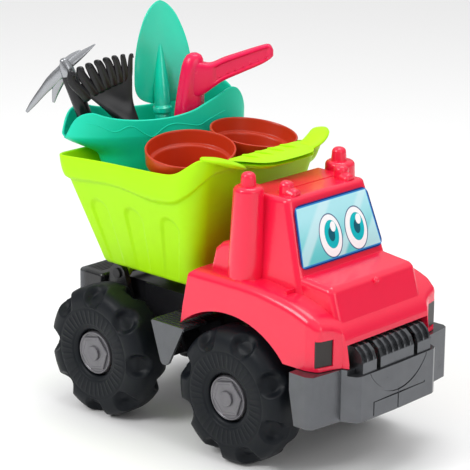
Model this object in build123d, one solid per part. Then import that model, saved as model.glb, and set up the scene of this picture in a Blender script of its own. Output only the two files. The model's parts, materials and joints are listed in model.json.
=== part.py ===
from build123d import *
import math
import os

os.makedirs("parts", exist_ok=True)

# Garden tipper truck with its load. Millimetres, +X forward, +Y to the truck's left, +Z up.
# The shapes are drawn with the wheels on Z = 0 and X measured from a point between the axles;
# the last lines move everything by FRAME_X and FRAME_Y so the origin is the box's bottom centre.
FRAME_X = -20.6
FRAME_Y = 0.0

# Wheels and axles
WHEEL_R = 65.0
WHEEL_W = 45.0
WHEEL_MID_Y = 76.7
AXLE_Z = WHEEL_R
FRONT_X = 100.0
REAR_X = -76.3
AXLE_R = 3.0
BORE_R = 3.08
SHELL = 2.5
LUGS = 8
CUP_R = 12.0
HUB_POCKET_R = 23.5
HUB_FLOOR_W = 11.5
CAP_R = 21.3
CAP_FACE_W = 20.4
FRONT_TURN = 27.0
REAR_TURN = 0.6

# Chassis
RAIL_Y = 42.0
DECK_Z = 106.0
RAIL_BOTTOM = 79.0
CHASSIS_REAR = -120.0
CHASSIS_FRONT = 176.0
STEP_TOP = 119.0
STEP_X = (2.4, 44.3)
STEP_Y = 97.0
PIN_X = -97.0
PIN_Z = 130.0
PIN_R = 3.0
EAR_Y = 44.0
EAR_T = 6.0

# Cab
CAB_WALL = 2.5
FENDER_WALL = 3.6
CAB_BASE = 112.0
FENDER_Y = 88.0
HOOD_Y = 60.0
ARCH = (92.0, 65.0, 85.0, 78.0)
STACK_TOP = 260.5
SCREEN_LOW = (153.7, 190.5)
SCREEN_HIGH = (136.4, 245.6)

# Bumper
BUMPER_Y = 99.5
BUMPER_Z = (62.0, 112.0)
BLOCK_X = 221.0

# Bed
BED_WALL = 2.5
BED_FLOOR = 143.0

# Load frame: u runs along the tub, w towards the truck's front right
TUB_AT = (-95.0, 5.0)
TUB_DIR = (0.47, 0.8827)
HOE_DIR = (0.9, 0.436)
ARM_DIR = (0.751, 0.66)
POT_RIM_R = 43.0
POT_H = 78.0


def prism_xz(points, y0, y1):
    """Side-view polygon in X and Z, carried from y0 to y1."""
    plane = Plane(origin=(0, y1, 0), x_dir=(1, 0, 0), z_dir=(0, -1, 0))
    return extrude(plane * make_face(Polyline(*points, close=True)), amount=y1 - y0)


def prism_xy(points, z0, z1):
    return extrude(Plane.XY.offset(z0) * make_face(Polyline(*points, close=True)), amount=z1 - z0)


def prism_yz(points, x0, x1):
    plane = Plane(origin=(x0, 0, 0), x_dir=(0, 1, 0), z_dir=(1, 0, 0))
    return extrude(plane * make_face(Polyline(*points, close=True)), amount=x1 - x0)


def block(x0, x1, y0, y1, z0, z1):
    return Pos((x0 + x1) / 2, (y0 + y1) / 2, (z0 + z1) / 2) * Box(x1 - x0, y1 - y0, z1 - z0)


def rod(a, b, r, r2=None):
    """Round bar from a to b; r2 tapers it."""
    v = Vector(*b) - Vector(*a)
    plane = Plane(origin=a, z_dir=v)
    if r2 is None:
        return extrude(plane * Circle(r), amount=v.length)
    return loft([plane * Circle(r), plane.offset(v.length) * Circle(r2)])


def rounded_section(z, x0, x1, half, r_front, r_rear):
    """Plan outline at height z with its own front and rear corner radii."""
    middle = (x0 + x1) / 2
    face = make_face(Polyline((x0, -half), (x1, -half), (x1, half), (x0, half), close=True))
    face = fillet(face.vertices().filter_by(lambda v: v.X > middle), r_front)
    rear = [v for v in face.vertices() if v.X < x0 + 0.01]
    return Plane.XY.offset(z) * fillet(rear, r_rear)


def mirrored_points(half):
    """Closed plan outline from its points on one side of the middle."""
    return half + [(x, -y) for x, y in reversed(half) if abs(y) > 0.001]


def axis_y(x, y, z, direction=1):
    return Plane(origin=(x, y, z), x_dir=(1, 0, 0), z_dir=(0, direction, 0))


# ---------------------------------------------------------------- wheels
# Local wheel frame: the spin axis is local Z, +Z towards the outside of the truck.
def ring(profile):
    """Closed r and w outline spun about local Z."""
    face = make_face(Polyline(*[(r, 0, w) for r, w in profile], close=True))
    return revolve(face, axis=Axis.Z, revolution_arc=360)


def tyre_profile(t):
    half = WHEEL_W / 2 - t
    return [
        (29.0 + t, half - 2.5), (36.0, half), (49.0, half), (57.5, half - 2.2), (62.5 - t, half - 6.0),
        (WHEEL_R - t, half - 12.0), (WHEEL_R - t, -half + 12.0), (62.5 - t, -half + 6.0),
        (57.5, -half + 2.2), (49.0, -half), (30.0 + t, -half),
    ]


def cups(t):
    """Rounded scoops that leave eight lugs on each shoulder, the inner row half a pitch round."""
    result = []
    for side, phase in ((1, 0.0), (-1, 0.5)):
        for i in range(LUGS):
            a = math.radians((i + phase) * 360 / LUGS)
            c, s = math.cos(a), math.sin(a)
            near = (74.0 * c, 74.0 * s, side * 1.0)
            far = (60.5 * c, 60.5 * s, side * 27.0)
            result.append(rod(near, far, CUP_R + t) + Pos(*near) * Sphere(CUP_R + t))
    return result


def make_wheel():
    half = WHEEL_W / 2
    skin = ring(tyre_profile(0) + [(22.0, -half + 6), (10.0, -half + 6), (10.0, -half), (BORE_R, -half),
                                   (BORE_R, HUB_FLOOR_W), (HUB_POCKET_R, HUB_FLOOR_W),
                                   (HUB_POCKET_R, half - 3.5)])
    void = ring(tyre_profile(SHELL) + [(24.0, -half + 6 + SHELL), (9.0, -half + 6 + SHELL),
                                       (9.0, HUB_FLOOR_W - SHELL),
                                       (HUB_POCKET_R + SHELL, HUB_FLOOR_W - SHELL),
                                       (HUB_POCKET_R + SHELL, half - 6.5)])
    for cup in cups(0):
        skin = skin - cup
    for cup in cups(SHELL):
        void = void - cup
    body = skin - void
    for i in range(40):
        a = i * 9
        rib = Rot(0, 0, a) * block(30.0, 43.0, -0.7, 0.7, half - 1.6, half + 0.5)
        body = body + (rib - ring([(10, half - 9), (29.6, half - 2.6), (36, half - 0.4), (43.4, half - 0.4),
                                   (43.4, half - 9)]))
    return body


def make_cap():
    """Hub cap with a raised hexagon and a round boss, open behind over the axle's end."""
    cup = ring([(0, CAP_FACE_W), (16.5, CAP_FACE_W), (17.5, CAP_FACE_W - 1.2), (20.0, CAP_FACE_W - 1.2),
                (CAP_R, CAP_FACE_W - 2.4), (CAP_R, HUB_FLOOR_W + 0.05), (CAP_R - 2, HUB_FLOOR_W + 0.05),
                (CAP_R - 2, CAP_FACE_W - 4.0), (0, CAP_FACE_W - 4.0)])
    hexagon = extrude(Plane.XY.offset(CAP_FACE_W - 0.1) * RegularPolygon(15.5, 6), amount=1.5)
    boss = Pos(0, 0, CAP_FACE_W + 1.6) * Cylinder(7.0, 2.0)
    return cup + hexagon + chamfer(boss.edges().group_by(Axis.Z)[-1], 0.6)


WHEEL = make_wheel()
CAP = make_cap()


# ---------------------------------------------------------------- chassis
def make_chassis():
    half = RAIL_Y
    deck = block(CHASSIS_REAR, CHASSIS_FRONT, -half, half, RAIL_BOTTOM, DECK_Z)
    inside = block(CHASSIS_REAR + 3, CHASSIS_FRONT - 3, -half + 3, half - 3, RAIL_BOTTOM - 5, DECK_Z - 3)
    body = deck - inside
    # Rear block with a slotted top behind the tipping bed
    tail = block(-147.0, CHASSIS_REAR + 8, -50, 50, 98.0, 127.0)
    tail = fillet(tail.edges().filter_by(Axis.Z) + tail.edges().group_by(Axis.Z)[-1], 4.0)
    body = body + (tail - block(-144.0, CHASSIS_REAR, -47, 47, 90.0, 124.0))
    for i in range(6):
        x = -141.0 + i * 3.6
        for y in (-25.5, 25.5):
            body = body - block(x, x + 1.6, y - 17.0, y + 17.0, 125.6, 130.0)
    # Spine under the bed, carrying the hinge ears
    spine = block(CHASSIS_REAR, 20.0, -30, 30, DECK_Z - 0.1, 124.0)
    spine = spine - block(CHASSIS_REAR + 3, 17.0, -27, 27, DECK_Z - 4, 121.0)
    body = body + spine
    for s in (-1, 1):
        low, high = sorted((s * (EAR_Y - EAR_T), s * EAR_Y))
        ear = prism_xz([(-113, DECK_Z - 1), (-78, DECK_Z - 1), (-88, 134), (-92, 138), (-102, 138),
                        (-107, 134)], low, high)
        body = body + ear
        # Axle hangers with round bosses out to the wheels
        for x in (FRONT_X, REAR_X):
            low, high = sorted((s * (half - 6), s * half))
            hanger = prism_xz([(x - 16, RAIL_BOTTOM + 1), (x + 16, RAIL_BOTTOM + 1), (x + 9, 56),
                               (x - 9, 56)], low, high)
            boss = axis_y(x, s * (half - 1), AXLE_Z, s) * Pos(0, 0, 6.15) * Cylinder(9.0, 12.3)
            body = body + hanger + boss
        # Side step: ridged tread and a tapering skirt
        x0, x1 = STEP_X
        low, high = sorted((s * (half - 2), s * STEP_Y))
        tread = block(x0, x1, low, high, STEP_TOP - 3, STEP_TOP)
        body = body + fillet(tread.edges().filter_by(Axis.Z), 2.0)
        for i in range(9):
            y = s * (52.0 + i * 5.0)
            body = body + block(x0 + 3, x1 - 1, y - 0.8, y + 0.8, STEP_TOP - 0.1, STEP_TOP + 1.0)
        low, high = sorted((s * (STEP_Y - 3), s * STEP_Y))
        body = body + prism_xz([(x0, STEP_TOP - 1), (x1, STEP_TOP - 1), (25.5, 80), (22.5, 77.5),
                                (17.5, 77.5), (14.8, 80)], low, high)
        low, high = sorted((s * (half - 2), s * (STEP_Y - 1)))
        body = body + prism_xz([(x0 + 0.5, STEP_TOP - 1), (x0 + 3, STEP_TOP - 1), (17.5, 82), (15, 82)],
                               low, high)
        low, high = sorted((s * (half - 2), s * (half + 3)))
        body = body + block(x0 + 1, x1 - 1, low, high, DECK_Z - 8, STEP_TOP - 1)
        # Inner kerb beside the tread and the pads that carry the cab
        low, high = sorted((s * (half - 3), s * half))
        body = body + block(-60.0, 28.0, low, high, DECK_Z - 1, 128.0)
    for x in (FRONT_X, REAR_X):
        body = body - axis_y(x, -70, AXLE_Z) * Pos(0, 0, 70) * Cylinder(AXLE_R + 0.02, 150)
    body = body - axis_y(PIN_X, -60, PIN_Z) * Pos(0, 0, 60) * Cylinder(PIN_R + 0.02, 130)
    for x in (72.0, 150.0):
        for y in (-30.0, 30.0):
            post = Pos(x, y, DECK_Z + 9) * Cylinder(5.0, 20.0)
            body = body + post - Pos(x, y, DECK_Z) * Cylinder(1.6, 60.0)
    return body


def make_axle(x):
    end = WHEEL_MID_Y + HUB_FLOOR_W + 3.2
    bar = axis_y(x, -end, AXLE_Z) * Pos(0, 0, end) * Cylinder(AXLE_R, 2 * end)
    return chamfer(bar.edges(), 0.6)


def make_nuts():
    """Push nuts that keep the four wheels on the axle ends."""
    nuts = []
    for x in (FRONT_X, REAR_X):
        for s in (-1, 1):
            y = s * (WHEEL_MID_Y + HUB_FLOOR_W + 0.35 + 0.8)
            nut = axis_y(x, y, AXLE_Z) * (Cylinder(6.5, 1.6) - Cylinder(AXLE_R + 0.02, 4))
            nuts.append(nut)
    return nuts


def make_screws():
    """Four pan-head screws up through the deck into the cab's posts."""
    screws = []
    for x in (72.0, 150.0):
        for y in (-30.0, 30.0):
            shank = Pos(x, y, DECK_Z + 4.5) * Cylinder(1.5, 16.0)
            head = Pos(x, y, DECK_Z - 4.6) * Cylinder(3.4, 2.4)
            slot = Pos(x, y, DECK_Z - 5.9) * (Box(4.4, 0.9, 1.4) + Box(0.9, 4.4, 1.4))
            screws.append(shank + fillet(head.edges().group_by(Axis.Z)[0], 0.9) - slot)
    return screws


# ---------------------------------------------------------------- cab
FENDER_SIDE = [(31, CAB_BASE), (35, 138), (42, 171), (48, 176), (124, 176), (149, 172), (172, 167),
               (192, 160), (205, 149), (208.5, 140), (213, CAB_BASE)]
HOOD_SIDE = [(100, CAB_BASE), (100, 190.5), (151, 186.5), (188, 182.5), (192.5, 179), (213, CAB_BASE)]
FRONT_PLAN = mirrored_points([(20, 0), (20, 88), (186, 88), (198.5, 84), (202.5, 68), (206, 60.0),
                              (216, 56), (216, 0)])


def lower_cab(t):
    """Fenders and hood; t is how far every face stands inside the outer skin."""
    half = FENDER_Y - t
    plan = make_face(Polyline(*FRONT_PLAN, close=True))
    corners = [v for v in plan.vertices() if v.X > 180 and abs(v.Y) > 65]
    plan = fillet(corners, 8.0)
    hood = make_face(Polyline(*HOOD_SIDE, close=True))
    if t:
        side = offset(make_face(Polyline(*FENDER_SIDE, close=True)), -t, kind=Kind.INTERSECTION)
        plan = offset(plan, -t, kind=Kind.INTERSECTION)
        hood = offset(hood, -t, kind=Kind.INTERSECTION)
    else:
        top = Spline((100, 176), (126, 175.2), (149, 172), (172, 167), (190, 160), (203, 149.5),
                     (208.5, 138), tangents=[(1, 0), (0.24, -1)])
        side = make_face(top + Polyline((208.5, 138), (213, CAB_BASE), (31, CAB_BASE), (35, 138), (42, 171),
                                        (48, 176), (100, 176)))
        side = fillet([v for v in side.vertices() if v.Y > 165 and v.X < 45], 4.0)
        hood = fillet([v for v in hood.vertices() if v.Y > 170 and v.X > 150], 6.0)
    wall = Plane(origin=(0, half, 0), x_dir=(1, 0, 0), z_dir=(0, -1, 0))
    fenders = extrude(wall * side, amount=2 * half)
    column = extrude(Plane.XY.offset(90) * plan, amount=120)
    mid = Plane(origin=(0, HOOD_Y - t, 0), x_dir=(1, 0, 0), z_dir=(0, -1, 0))
    return fenders & column, extrude(mid * hood, amount=2 * (HOOD_Y - t))


def cabin(t):
    base = rounded_section(160 + t, 58 + t, 163.4 - t, 64.5 - t, 7 - t, 5 - t)
    roof = rounded_section(252.5 - t, 76 + t, 134.3 - t, 54.5 - t, 7 - t, 5 - t)
    return loft([base, roof])


def stack(s, t):
    """Exhaust stack: a wide tapering pipe with a short domed one in its top."""
    foot = Plane.XY.offset(150) * Pos(93.5, s * 66) * Circle(18.0 - t)
    head = Plane.XY.offset(STACK_TOP - t) * Pos(95, s * 64) * Circle(14.0 - t)
    pipe = loft([foot, head])
    if t:
        return pipe
    pipe = fillet(pipe.edges().group_by(Axis.Z)[-1], 4.5)
    tip = Pos(94, s * 63.5, STACK_TOP + 2) * Cone(8.2, 6.4, 21.0)
    return pipe + fillet(tip.edges().group_by(Axis.Z)[-1], 4.8)


def roof_lamp(s):
    """Small domed lamp moulded on the roof's front edge, with a blunt lens ahead of it."""
    dome = Pos(118.0, s * 38.5, 256.5) * Cylinder(6.8, 16.0)
    dome = fillet(dome.edges().group_by(Axis.Z)[-1], 5.0)
    lens = rod((119.0, s * 38.2, 253.6), (130.5, s * 37.4, 251.0), 6.6)
    return dome + fillet(lens.edges().group_by(Axis.X)[-1], 3.0)


def make_cab():
    fenders, hood = lower_cab(0)
    rim = [e for e in fenders.edges() if e.center().Z > 140 and abs(e.center().Y) > 60
           and e.center().X > 60 and abs(e.tangent_at(0.5).Y) < 0.99]
    fenders = fillet(rim, 9.0)
    crown = [e for e in hood.edges() if e.center().Z > 140 and abs(e.center().Y) > 55 and e.center().X > 105]
    hood = fillet(crown, 7.0)
    house = cabin(0)
    house = fillet(house.edges().group_by(Axis.Z)[-1], 5.0)
    shoulder = prism_xz([(50, 165), (55.5, 179), (60, 196), (68, 203), (76, 206), (90, 206), (90, 165)],
                        -72, 72)
    flank = [e for e in shoulder.edges()
             if e.center().Z > 170 and abs(e.center().Y) > 70 and e.center().X < 85]
    shoulder = fillet(flank, 5.0)
    body = fenders + hood + house + shoulder
    fenders_in, hood_in = lower_cab(FENDER_WALL)
    inside = fenders_in + hood_in + cabin(CAB_WALL)
    inside = inside + prism_xz([(53, 160), (58.5, 179), (62.5, 194), (69.5, 200.5), (92, 203), (92, 160)],
                               -69.5, 69.5)
    for s in (-1, 1):
        body = body + stack(s, 0) + roof_lamp(s)
        inside = inside + stack(s, CAB_WALL)
    inside = inside + Pos(0, 0, -FENDER_WALL - 1) * fenders_in + Pos(0, 0, -FENDER_WALL - 1) * hood_in
    body = body - inside
    # Wheel arches through the fender sides, level with the tyres only
    cx, cz, rx, rz = ARCH
    arch = Plane(origin=(cx, 120, cz), x_dir=(1, 0, 0), z_dir=(0, -1, 0)) * Ellipse(rx, rz)
    body = body - extrude(arch, amount=240)
    body = body - block(0, 70, -120, 120, 90, STEP_TOP + 1.6)
    # Opening for the bumper's roller, and the roof groove
    body = body - block(190, 240, -57.5, 57.5, 90, 133.5)
    body = body - block(108.2, 110.0, -41, 41, 251.5, 262)
    for s in (-1, 1):
        body = body - lamp_box(s, 0.15, 40.0)
    # Posts that take the screws
    for x in (72.0, 150.0):
        for y in (-30.0, 30.0):
            top_z = 178.0
            post = Pos(x, y, (DECK_Z + 19.5 + top_z) / 2) * Cylinder(5.0, top_z - DECK_Z - 19.5)
            low, high = sorted((y, math.copysign(74.0, y)))
            tie = block(x - 1.2, x + 1.2, low, high, 150, 175.0)
            post = post - Pos(x, y, DECK_Z + 22) * Cylinder(1.6, 16.0)
            body = body + post + tie
    nub = Pos(193.5, 0, 178.0) * Sphere(3.2)
    return body + nub


def lamp_box(s, gap, depth):
    """Head lamp pane, turned outwards, set into the fender's front."""
    pane = Box(depth, 18.0 + 2 * gap, 24.5 + 2 * gap)
    front = 0.6 if gap == 0 else 12.0
    return Pos(198.0, s * 76.5, 128.0) * Rot(0, 0, s * 15) * Pos(front - depth / 2, 0, 0) * pane


# ---------------------------------------------------------------- bumper
BUMPER_PLAN = mirrored_points([(177.5, 0), (177.5, 99.0), (197, BUMPER_Y), (203, 96.0), (207, 62.0),
                               (BLOCK_X - 0.5, 56.5), (BLOCK_X + 1.5, 52.0), (BLOCK_X + 2.5, 0)])


def make_bumper():
    z0, z1 = BUMPER_Z
    body = prism_xy(BUMPER_PLAN, z0, z1 - 0.6)
    upright = body.edges().filter_by(Axis.Z)
    body = fillet(upright.filter_by(lambda e: 190 < e.center().X and abs(e.center().Y) > 90), 3.0)
    body = body - prism_xz([(150, z0 - 1), (184, z0 - 1), (174, z1 + 1), (150, z1 + 1)], 60, 110)
    body = body - prism_xz([(150, z0 - 1), (184, z0 - 1), (174, z1 + 1), (150, z1 + 1)], -110, -60)
    body = body - block(160, 215, -53.5, 53.5, z0 - 5, z1 - 9)
    for s in (-1, 1):
        low, high = sorted((s * 60.0, s * 96.0))
        body = body - block(160, 199, low, high, z0 - 5, z1 - 4)
    body = body - block(212, 240, -60, 60, 106.0, 120)
    # Roller above the centre block: an arched front with ribs and two slots
    roller = prism_xz([(197, 104), (BLOCK_X, 104), (BLOCK_X, 117), (217.5, 125), (211, 130), (203, 130.5),
                       (197, 127)], -48.8, 48.8)
    roller = fillet(roller.edges().filter_by(Axis.Y).filter_by(lambda e: e.center().Z > 112), 3.0)
    roller = roller - block(190, 217, -46, 46, 100, 125) + block(199, 219, -46, 46, 100, 106)
    for s in (-1, 1):
        low, high = sorted((s * 24.0, s * 29.5))
        roller = roller - block(190, BLOCK_X - 3.0, low, high, 107, 140) \
            - block(BLOCK_X - 3.5, BLOCK_X + 9, low, high, 103, 140)
    for y in (-44.5, -36.0, -17.0, -8.5, 0.0, 8.5, 17.0, 36.0, 44.5):
        rib = axis_y(208.5, y, 117.5) * (Cylinder(14.2, 1.6) - Cylinder(11.0, 5.0))
        roller = roller + (rib & block(200, 240, -60, 60, 118, 140))
    body = body + roller
    # Curved groove, straight groove and centre seam on the block's face
    groove = Plane(origin=(BLOCK_X + 1.4, 0, 128), x_dir=(0, 1, 0), z_dir=(1, 0, 0))
    smile = Circle(47.9) - Circle(45.7)
    smile = smile & (Pos(0, -38) * Rectangle(82, 32))
    body = body - extrude(groove * smile, amount=4)
    body = body - block(BLOCK_X + 1.2, BLOCK_X + 5, -35, 40, 76.6, 78.6)
    body = body - block(BLOCK_X + 1.2, BLOCK_X + 5, -35, -33.4, 64, 78.6)
    return body - block(BLOCK_X + 1.8, BLOCK_X + 5, -0.7, 0.7, 60, 83)


def make_panes():
    return [lamp_box(s, 0, 3.0) for s in (-1, 1)]


def make_screen():
    """Windscreen sticker lying on the cab's sloping front."""
    (x0, z0), (x1, z1) = SCREEN_LOW, SCREEN_HIGH
    rise = math.hypot(x1 - x0, z1 - z0)
    normal = ((z1 - z0) / rise, 0, (x0 - x1) / rise)
    plane = Plane(origin=(x0 + 1.2, 0, z0), x_dir=(0, 1, 0), z_dir=normal)
    outline = make_face(Polyline((-58.0, 0), (58.0, 0), (51.0, rise), (-51.0, rise), close=True))
    outline = fillet(outline.vertices(), 4.0)
    return extrude(plane * outline, amount=0.4)


# ---------------------------------------------------------------- bed
def bed_outline(z, grow):
    """Bed plan at height z; grow moves it outwards."""
    k = min((z - BED_FLOOR) / 93.0, 1.0)
    j = max((z - 236.0) / 56.0, 0.0)
    rear = -104.0 - 23.5 * k - 11.0 * j - grow
    front = 22.0 + 24.5 * k + 13.0 * j + grow
    half = 56.5 + 29.5 * k + 6.0 * j + grow
    return rounded_section(z, rear, front, half, 15 + 6 * k + grow, 7 + 2 * k + grow)


def bed_solid(grow, low=BED_FLOOR):
    return loft([bed_outline(low, grow), bed_outline(236.0, grow), bed_outline(292.0, grow)], ruled=True)


def make_bed():
    skin = bed_solid(0)
    band = bed_solid(3.2) & prism_xz([(-160, 232), (-65, 235), (-11, 231), (30, 234), (40, 243),
                                      (47, 252), (60, 262), (90, 262), (90, 300), (-160, 300)], -120, 120)
    lip = prism_xy(mirrored_points([(44, 0), (44, 74), (58, 66), (69, 53), (84, 36), (86, 0)]), 265.5, 273)
    lip = fillet(lip.edges().filter_by(Axis.Z).filter_by(lambda e: e.center().X > 60), 6.0)
    lip = lip - prism_xy(mirrored_points([(44, 0), (44, 66), (56, 62), (66, 51), (81, 34), (83, 0)]),
                         260, 270.5)
    body = skin + band + lip
    inner = loft([bed_outline(BED_FLOOR, -BED_WALL), bed_outline(236.0, -BED_WALL),
                  bed_outline(292.0, 0.4)], ruled=True)
    floor = block(-150, 80, -100, 100, BED_FLOOR, BED_FLOOR + BED_WALL)
    body = body - (inner - floor)
    # Rim line along the sides, then the dip between the front ears
    rim = Spline((-170, 251.5), (-131, 253.5), (-70, 257.5), (-16, 260), (8, 262.5), (25, 271.5),
                 (44, 281.5), (62, 282.5))
    above = make_face(rim + Polyline((62, 282.5), (62, 330), (-170, 330), (-170, 251.5)))
    plane = Plane(origin=(0, 130, 0), x_dir=(1, 0, 0), z_dir=(0, -1, 0))
    body = body - extrude(plane * above, amount=260)
    dip = prism_yz([(-57, 273), (57, 273), (66, 275.5), (76, 281), (82, 284), (90, 300), (-90, 300),
                    (-82, 284), (-76, 281), (-66, 275.5)], 36, 100)
    body = body - dip - block(30, 100, -120, 120, 282, 320)
    # Three arch-topped recesses in each side
    core = bed_solid(-1.3, BED_FLOOR)
    for top_x, low_x in ((-88, -81), (-42, -46), (6, -9)):
        cutter = Polyline((low_x + 9, 138), (top_x + 11.5, 203)) + ThreePointArc(
            (top_x + 11.5, 203), (top_x, 214), (top_x - 11.5, 203)) + Polyline(
            (top_x - 11.5, 203), (low_x - 9, 138), (low_x + 9, 138))
        arch = extrude(plane * make_face(cutter), amount=260)
        body = body - (arch - core - block(-200, 100, -50, 50, 100, 300))
    # Grip slots across the lip
    for y in (-19.0, -6.5, 6.5, 19.0):
        body = body - block(55, 78, y - 1.6, y + 1.6, 272.2, 275)
    # Hinge lugs under the floor between the chassis ears
    for s in (-1, 1):
        low, high = sorted((s * (EAR_Y - EAR_T - 6.5), s * (EAR_Y - EAR_T - 0.5)))
        lug = prism_xz([(PIN_X - 6, BED_FLOOR + 1), (PIN_X + 16, BED_FLOOR + 1), (PIN_X + 6, 126),
                        (PIN_X + 3, 124.5), (PIN_X - 3, 124.5), (PIN_X - 6, 127)], low, high)
        body = body + lug
    return body - axis_y(PIN_X, -60, PIN_Z) * Pos(0, 0, 60) * Cylinder(BORE_R, 130)


def make_pin():
    end = EAR_Y + 2.0
    pin = axis_y(PIN_X, -end, PIN_Z) * Pos(0, 0, end) * Cylinder(PIN_R, 2 * end)
    head = axis_y(PIN_X, -end, PIN_Z) * Pos(0, 0, 0.8) * Cylinder(5.0, 1.6)
    return pin + head


# ---------------------------------------------------------------- load
NORMAL = (TUB_DIR[1], -TUB_DIR[0])


def load_point(u, z, w=0.0):
    return (TUB_AT[0] + u * TUB_DIR[0] + w * NORMAL[0], TUB_AT[1] + u * TUB_DIR[1] + w * NORMAL[1], z)


def load_plane(w):
    """Upright drawing plane along the tub: local X is u, local Y is up, normal is w."""
    return Plane(origin=load_point(0, 0, w), x_dir=(*TUB_DIR, 0), z_dir=(*NORMAL, 0))


def load_plate(points, w0, w1):
    return extrude(load_plane(w0) * make_face(Polyline(*points, close=True)), amount=w1 - w0)


def tub_solid(t):
    rows = [(208.0 + t, 40.0, 17.0, 4.0), (250.0, 55.0, 24.0, 4.8), (267.0, 92.0, 31.0, 0.5),
            (318.0, 94.5, 32.0, 0.0)]
    sections = []
    for z, a, b, w in rows:
        plane = Plane(origin=load_point(0, z, w), x_dir=(*TUB_DIR, 0), z_dir=(0, 0, 1))
        sections.append(plane * Ellipse(a - t, b - t))
    return loft(sections, ruled=True)


def make_tub():
    body = tub_solid(0) - tub_solid(2.4)
    rim = [(-100, 291), (-85, 292.5), (-77, 295.5), (-62, 294), (-50, 290), (-34, 287), (-15, 285.6),
           (0, 286), (15, 288.5), (28.5, 292.4), (40, 298), (53, 303), (63, 308), (74, 310.5), (81, 309),
           (87, 302), (92, 288), (97, 270)]
    above = make_face(Spline(*rim) + Polyline((97, 270), (110, 270), (110, 340), (-110, 340), (-110, 291),
                                              (-100, 291)))
    return body - extrude(load_plane(-60) * above, amount=120)


def make_pot(x, y, z, lean_x, lean_y):
    """Flower pot leaning forward and outward; x, y, z is the middle of its rim."""
    r = POT_RIM_R
    outer = [(28.0, -POT_H), (37.8, -16.0), (r - 0.8, -15.0), (r, 0)]
    inner = [(r - 2.2, 0), (r - 3.0, -14.0), (36.0, -16.5), (26.4, -POT_H + 2.2), (6, -POT_H + 2.2),
             (6, -POT_H)]
    pot = ring(outer + inner)
    axis = Vector(lean_x, lean_y, 1).normalized()
    return Plane(origin=(x, y, z), x_dir=(1, 0, -lean_x), z_dir=axis) * pot


def make_trowel():
    """Curved blade, hollow side forward, on a round neck and handle."""
    u0 = 11.0
    left = [(u0, 393), (u0 - 11, 387.5), (u0 - 19, 373.5), (u0 - 25, 356), (u0 - 28.6, 336.5),
            (u0 - 29.3, 316.7), (u0 - 28, 304), (u0 - 21, 295.5), (u0 - 8, 290)]
    right = [(2 * u0 - u, z) for u, z in reversed(left[1:])]
    outline = make_face(Spline(*left) + Polyline(left[-1], right[0]) + Spline(*right, left[0]))
    slab = extrude(load_plane(-30) * outline, amount=60)
    curve = Plane(origin=load_point(u0, 280, -14 + 46), x_dir=(*TUB_DIR, 0), z_dir=(0, 0, 1))
    shell = extrude(curve * (Circle(48.0) - Circle(46.0)), amount=130)
    blade = slab & shell & load_box(-40, 60, -18, 2, 280, 400)
    neck = rod(load_point(u0 + 1.2, 283, -8.5), load_point(u0, 352, -14.5), 8.6, 1.6)
    collar = rod(load_point(u0 + 1.2, 282, -8.4), load_point(u0 + 1.1, 288, -8.7), 9.8)
    grip = rod(load_point(u0 + 0.5, 215, -1.0), load_point(u0 + 1.2, 283, -8.5), 7.4)
    return blade + neck + collar + grip


def load_box(u0, u1, w0, w1, z0, z1):
    return load_plate([(u0, z0), (u1, z0), (u1, z1), (u0, z1)], w0, w1)


RAKE_TIPS = [(-85.5, 330.5), (-78.5, 337.5), (-70.0, 342.5), (-61.5, 345.8), (-53.0, 348.0), (-45.0, 349.4),
             (-37.8, 349.4), (-30.8, 348.0), (-24.0, 346.0)]


def make_rake():
    palm = [(-41, 286), (-50, 292), (-57, 305), (-60, 316), (-52, 322), (-40, 324), (-27, 322), (-23.5, 312),
            (-23, 297), (-25, 286)]
    body = load_plate(palm, 10.5, 13.5)
    n = len(RAKE_TIPS)
    for i, (u, z) in enumerate(RAKE_TIPS):
        root = (-57.5 + 32.5 * i / (n - 1), 312.0)
        side = Vector(z - root[1], root[0] - u, 0).normalized() * 1.5
        tine = [(root[0] - side.X, root[1] - side.Y), (u - side.X, z - side.Y),
                (u + side.X, z + side.Y), (root[0] + side.X, root[1] + side.Y)]
        body = body + load_plate(tine, 10.5, 13.0)
        body = body + load_plate([(u - 1.5, z - 2), (u + 1.5, z - 2), (u + 1.5, z + 1), (u - 1.5, z + 1)],
                                 10.5, 18.0)
    body = body + rod(load_point(-32.5, 283, 11.6), load_point(-38, 306, 12.0), 7.4, 2.0)
    return body + rod(load_point(-17, 223, 5.0), load_point(-32.5, 284, 11.6), 7.4)


def make_hoe_handle():
    return rod(load_point(-60.5, 263, -6), load_point(-83.5, 327, -6), 7.6)


def hoe_plate(points, w0, w1):
    """Plate for the hoe's prongs, which turn on the handle towards the truck's length."""
    plane = Plane(origin=load_point(-86, 0, -6), x_dir=(*HOE_DIR, 0), z_dir=(HOE_DIR[1], -HOE_DIR[0], 0))
    return extrude(plane.offset(w0) * make_face(Polyline(*points, close=True)), amount=w1 - w0)


def make_hoe_head():
    socket = rod(load_point(-83.7, 327.6, -6), load_point(-88.6, 341, -6), 7.2, 5.4)
    blade = load_plate([(-92, 331), (-85, 331), (-76, 338.8), (-56, 355.5), (-57, 357), (-73, 350.5),
                        (-90, 343.8), (-97, 336)], -11, -1)
    long_prong = hoe_plate([(-11, 336), (-19, 322.5), (-27, 310), (-41, 291), (-45, 287), (-44, 285.5),
                            (-38, 289), (-28, 303), (-18, 313), (-7, 326), (-2, 334)], -2.5, 2.0)
    short_prong = hoe_plate([(-11, 330), (-18, 318), (-18, 308), (-15, 299.5), (-12, 300), (-9, 306),
                             (-7.5, 318), (-4, 328)], -7.0, -3.0)
    return socket + blade + long_prong + short_prong


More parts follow.
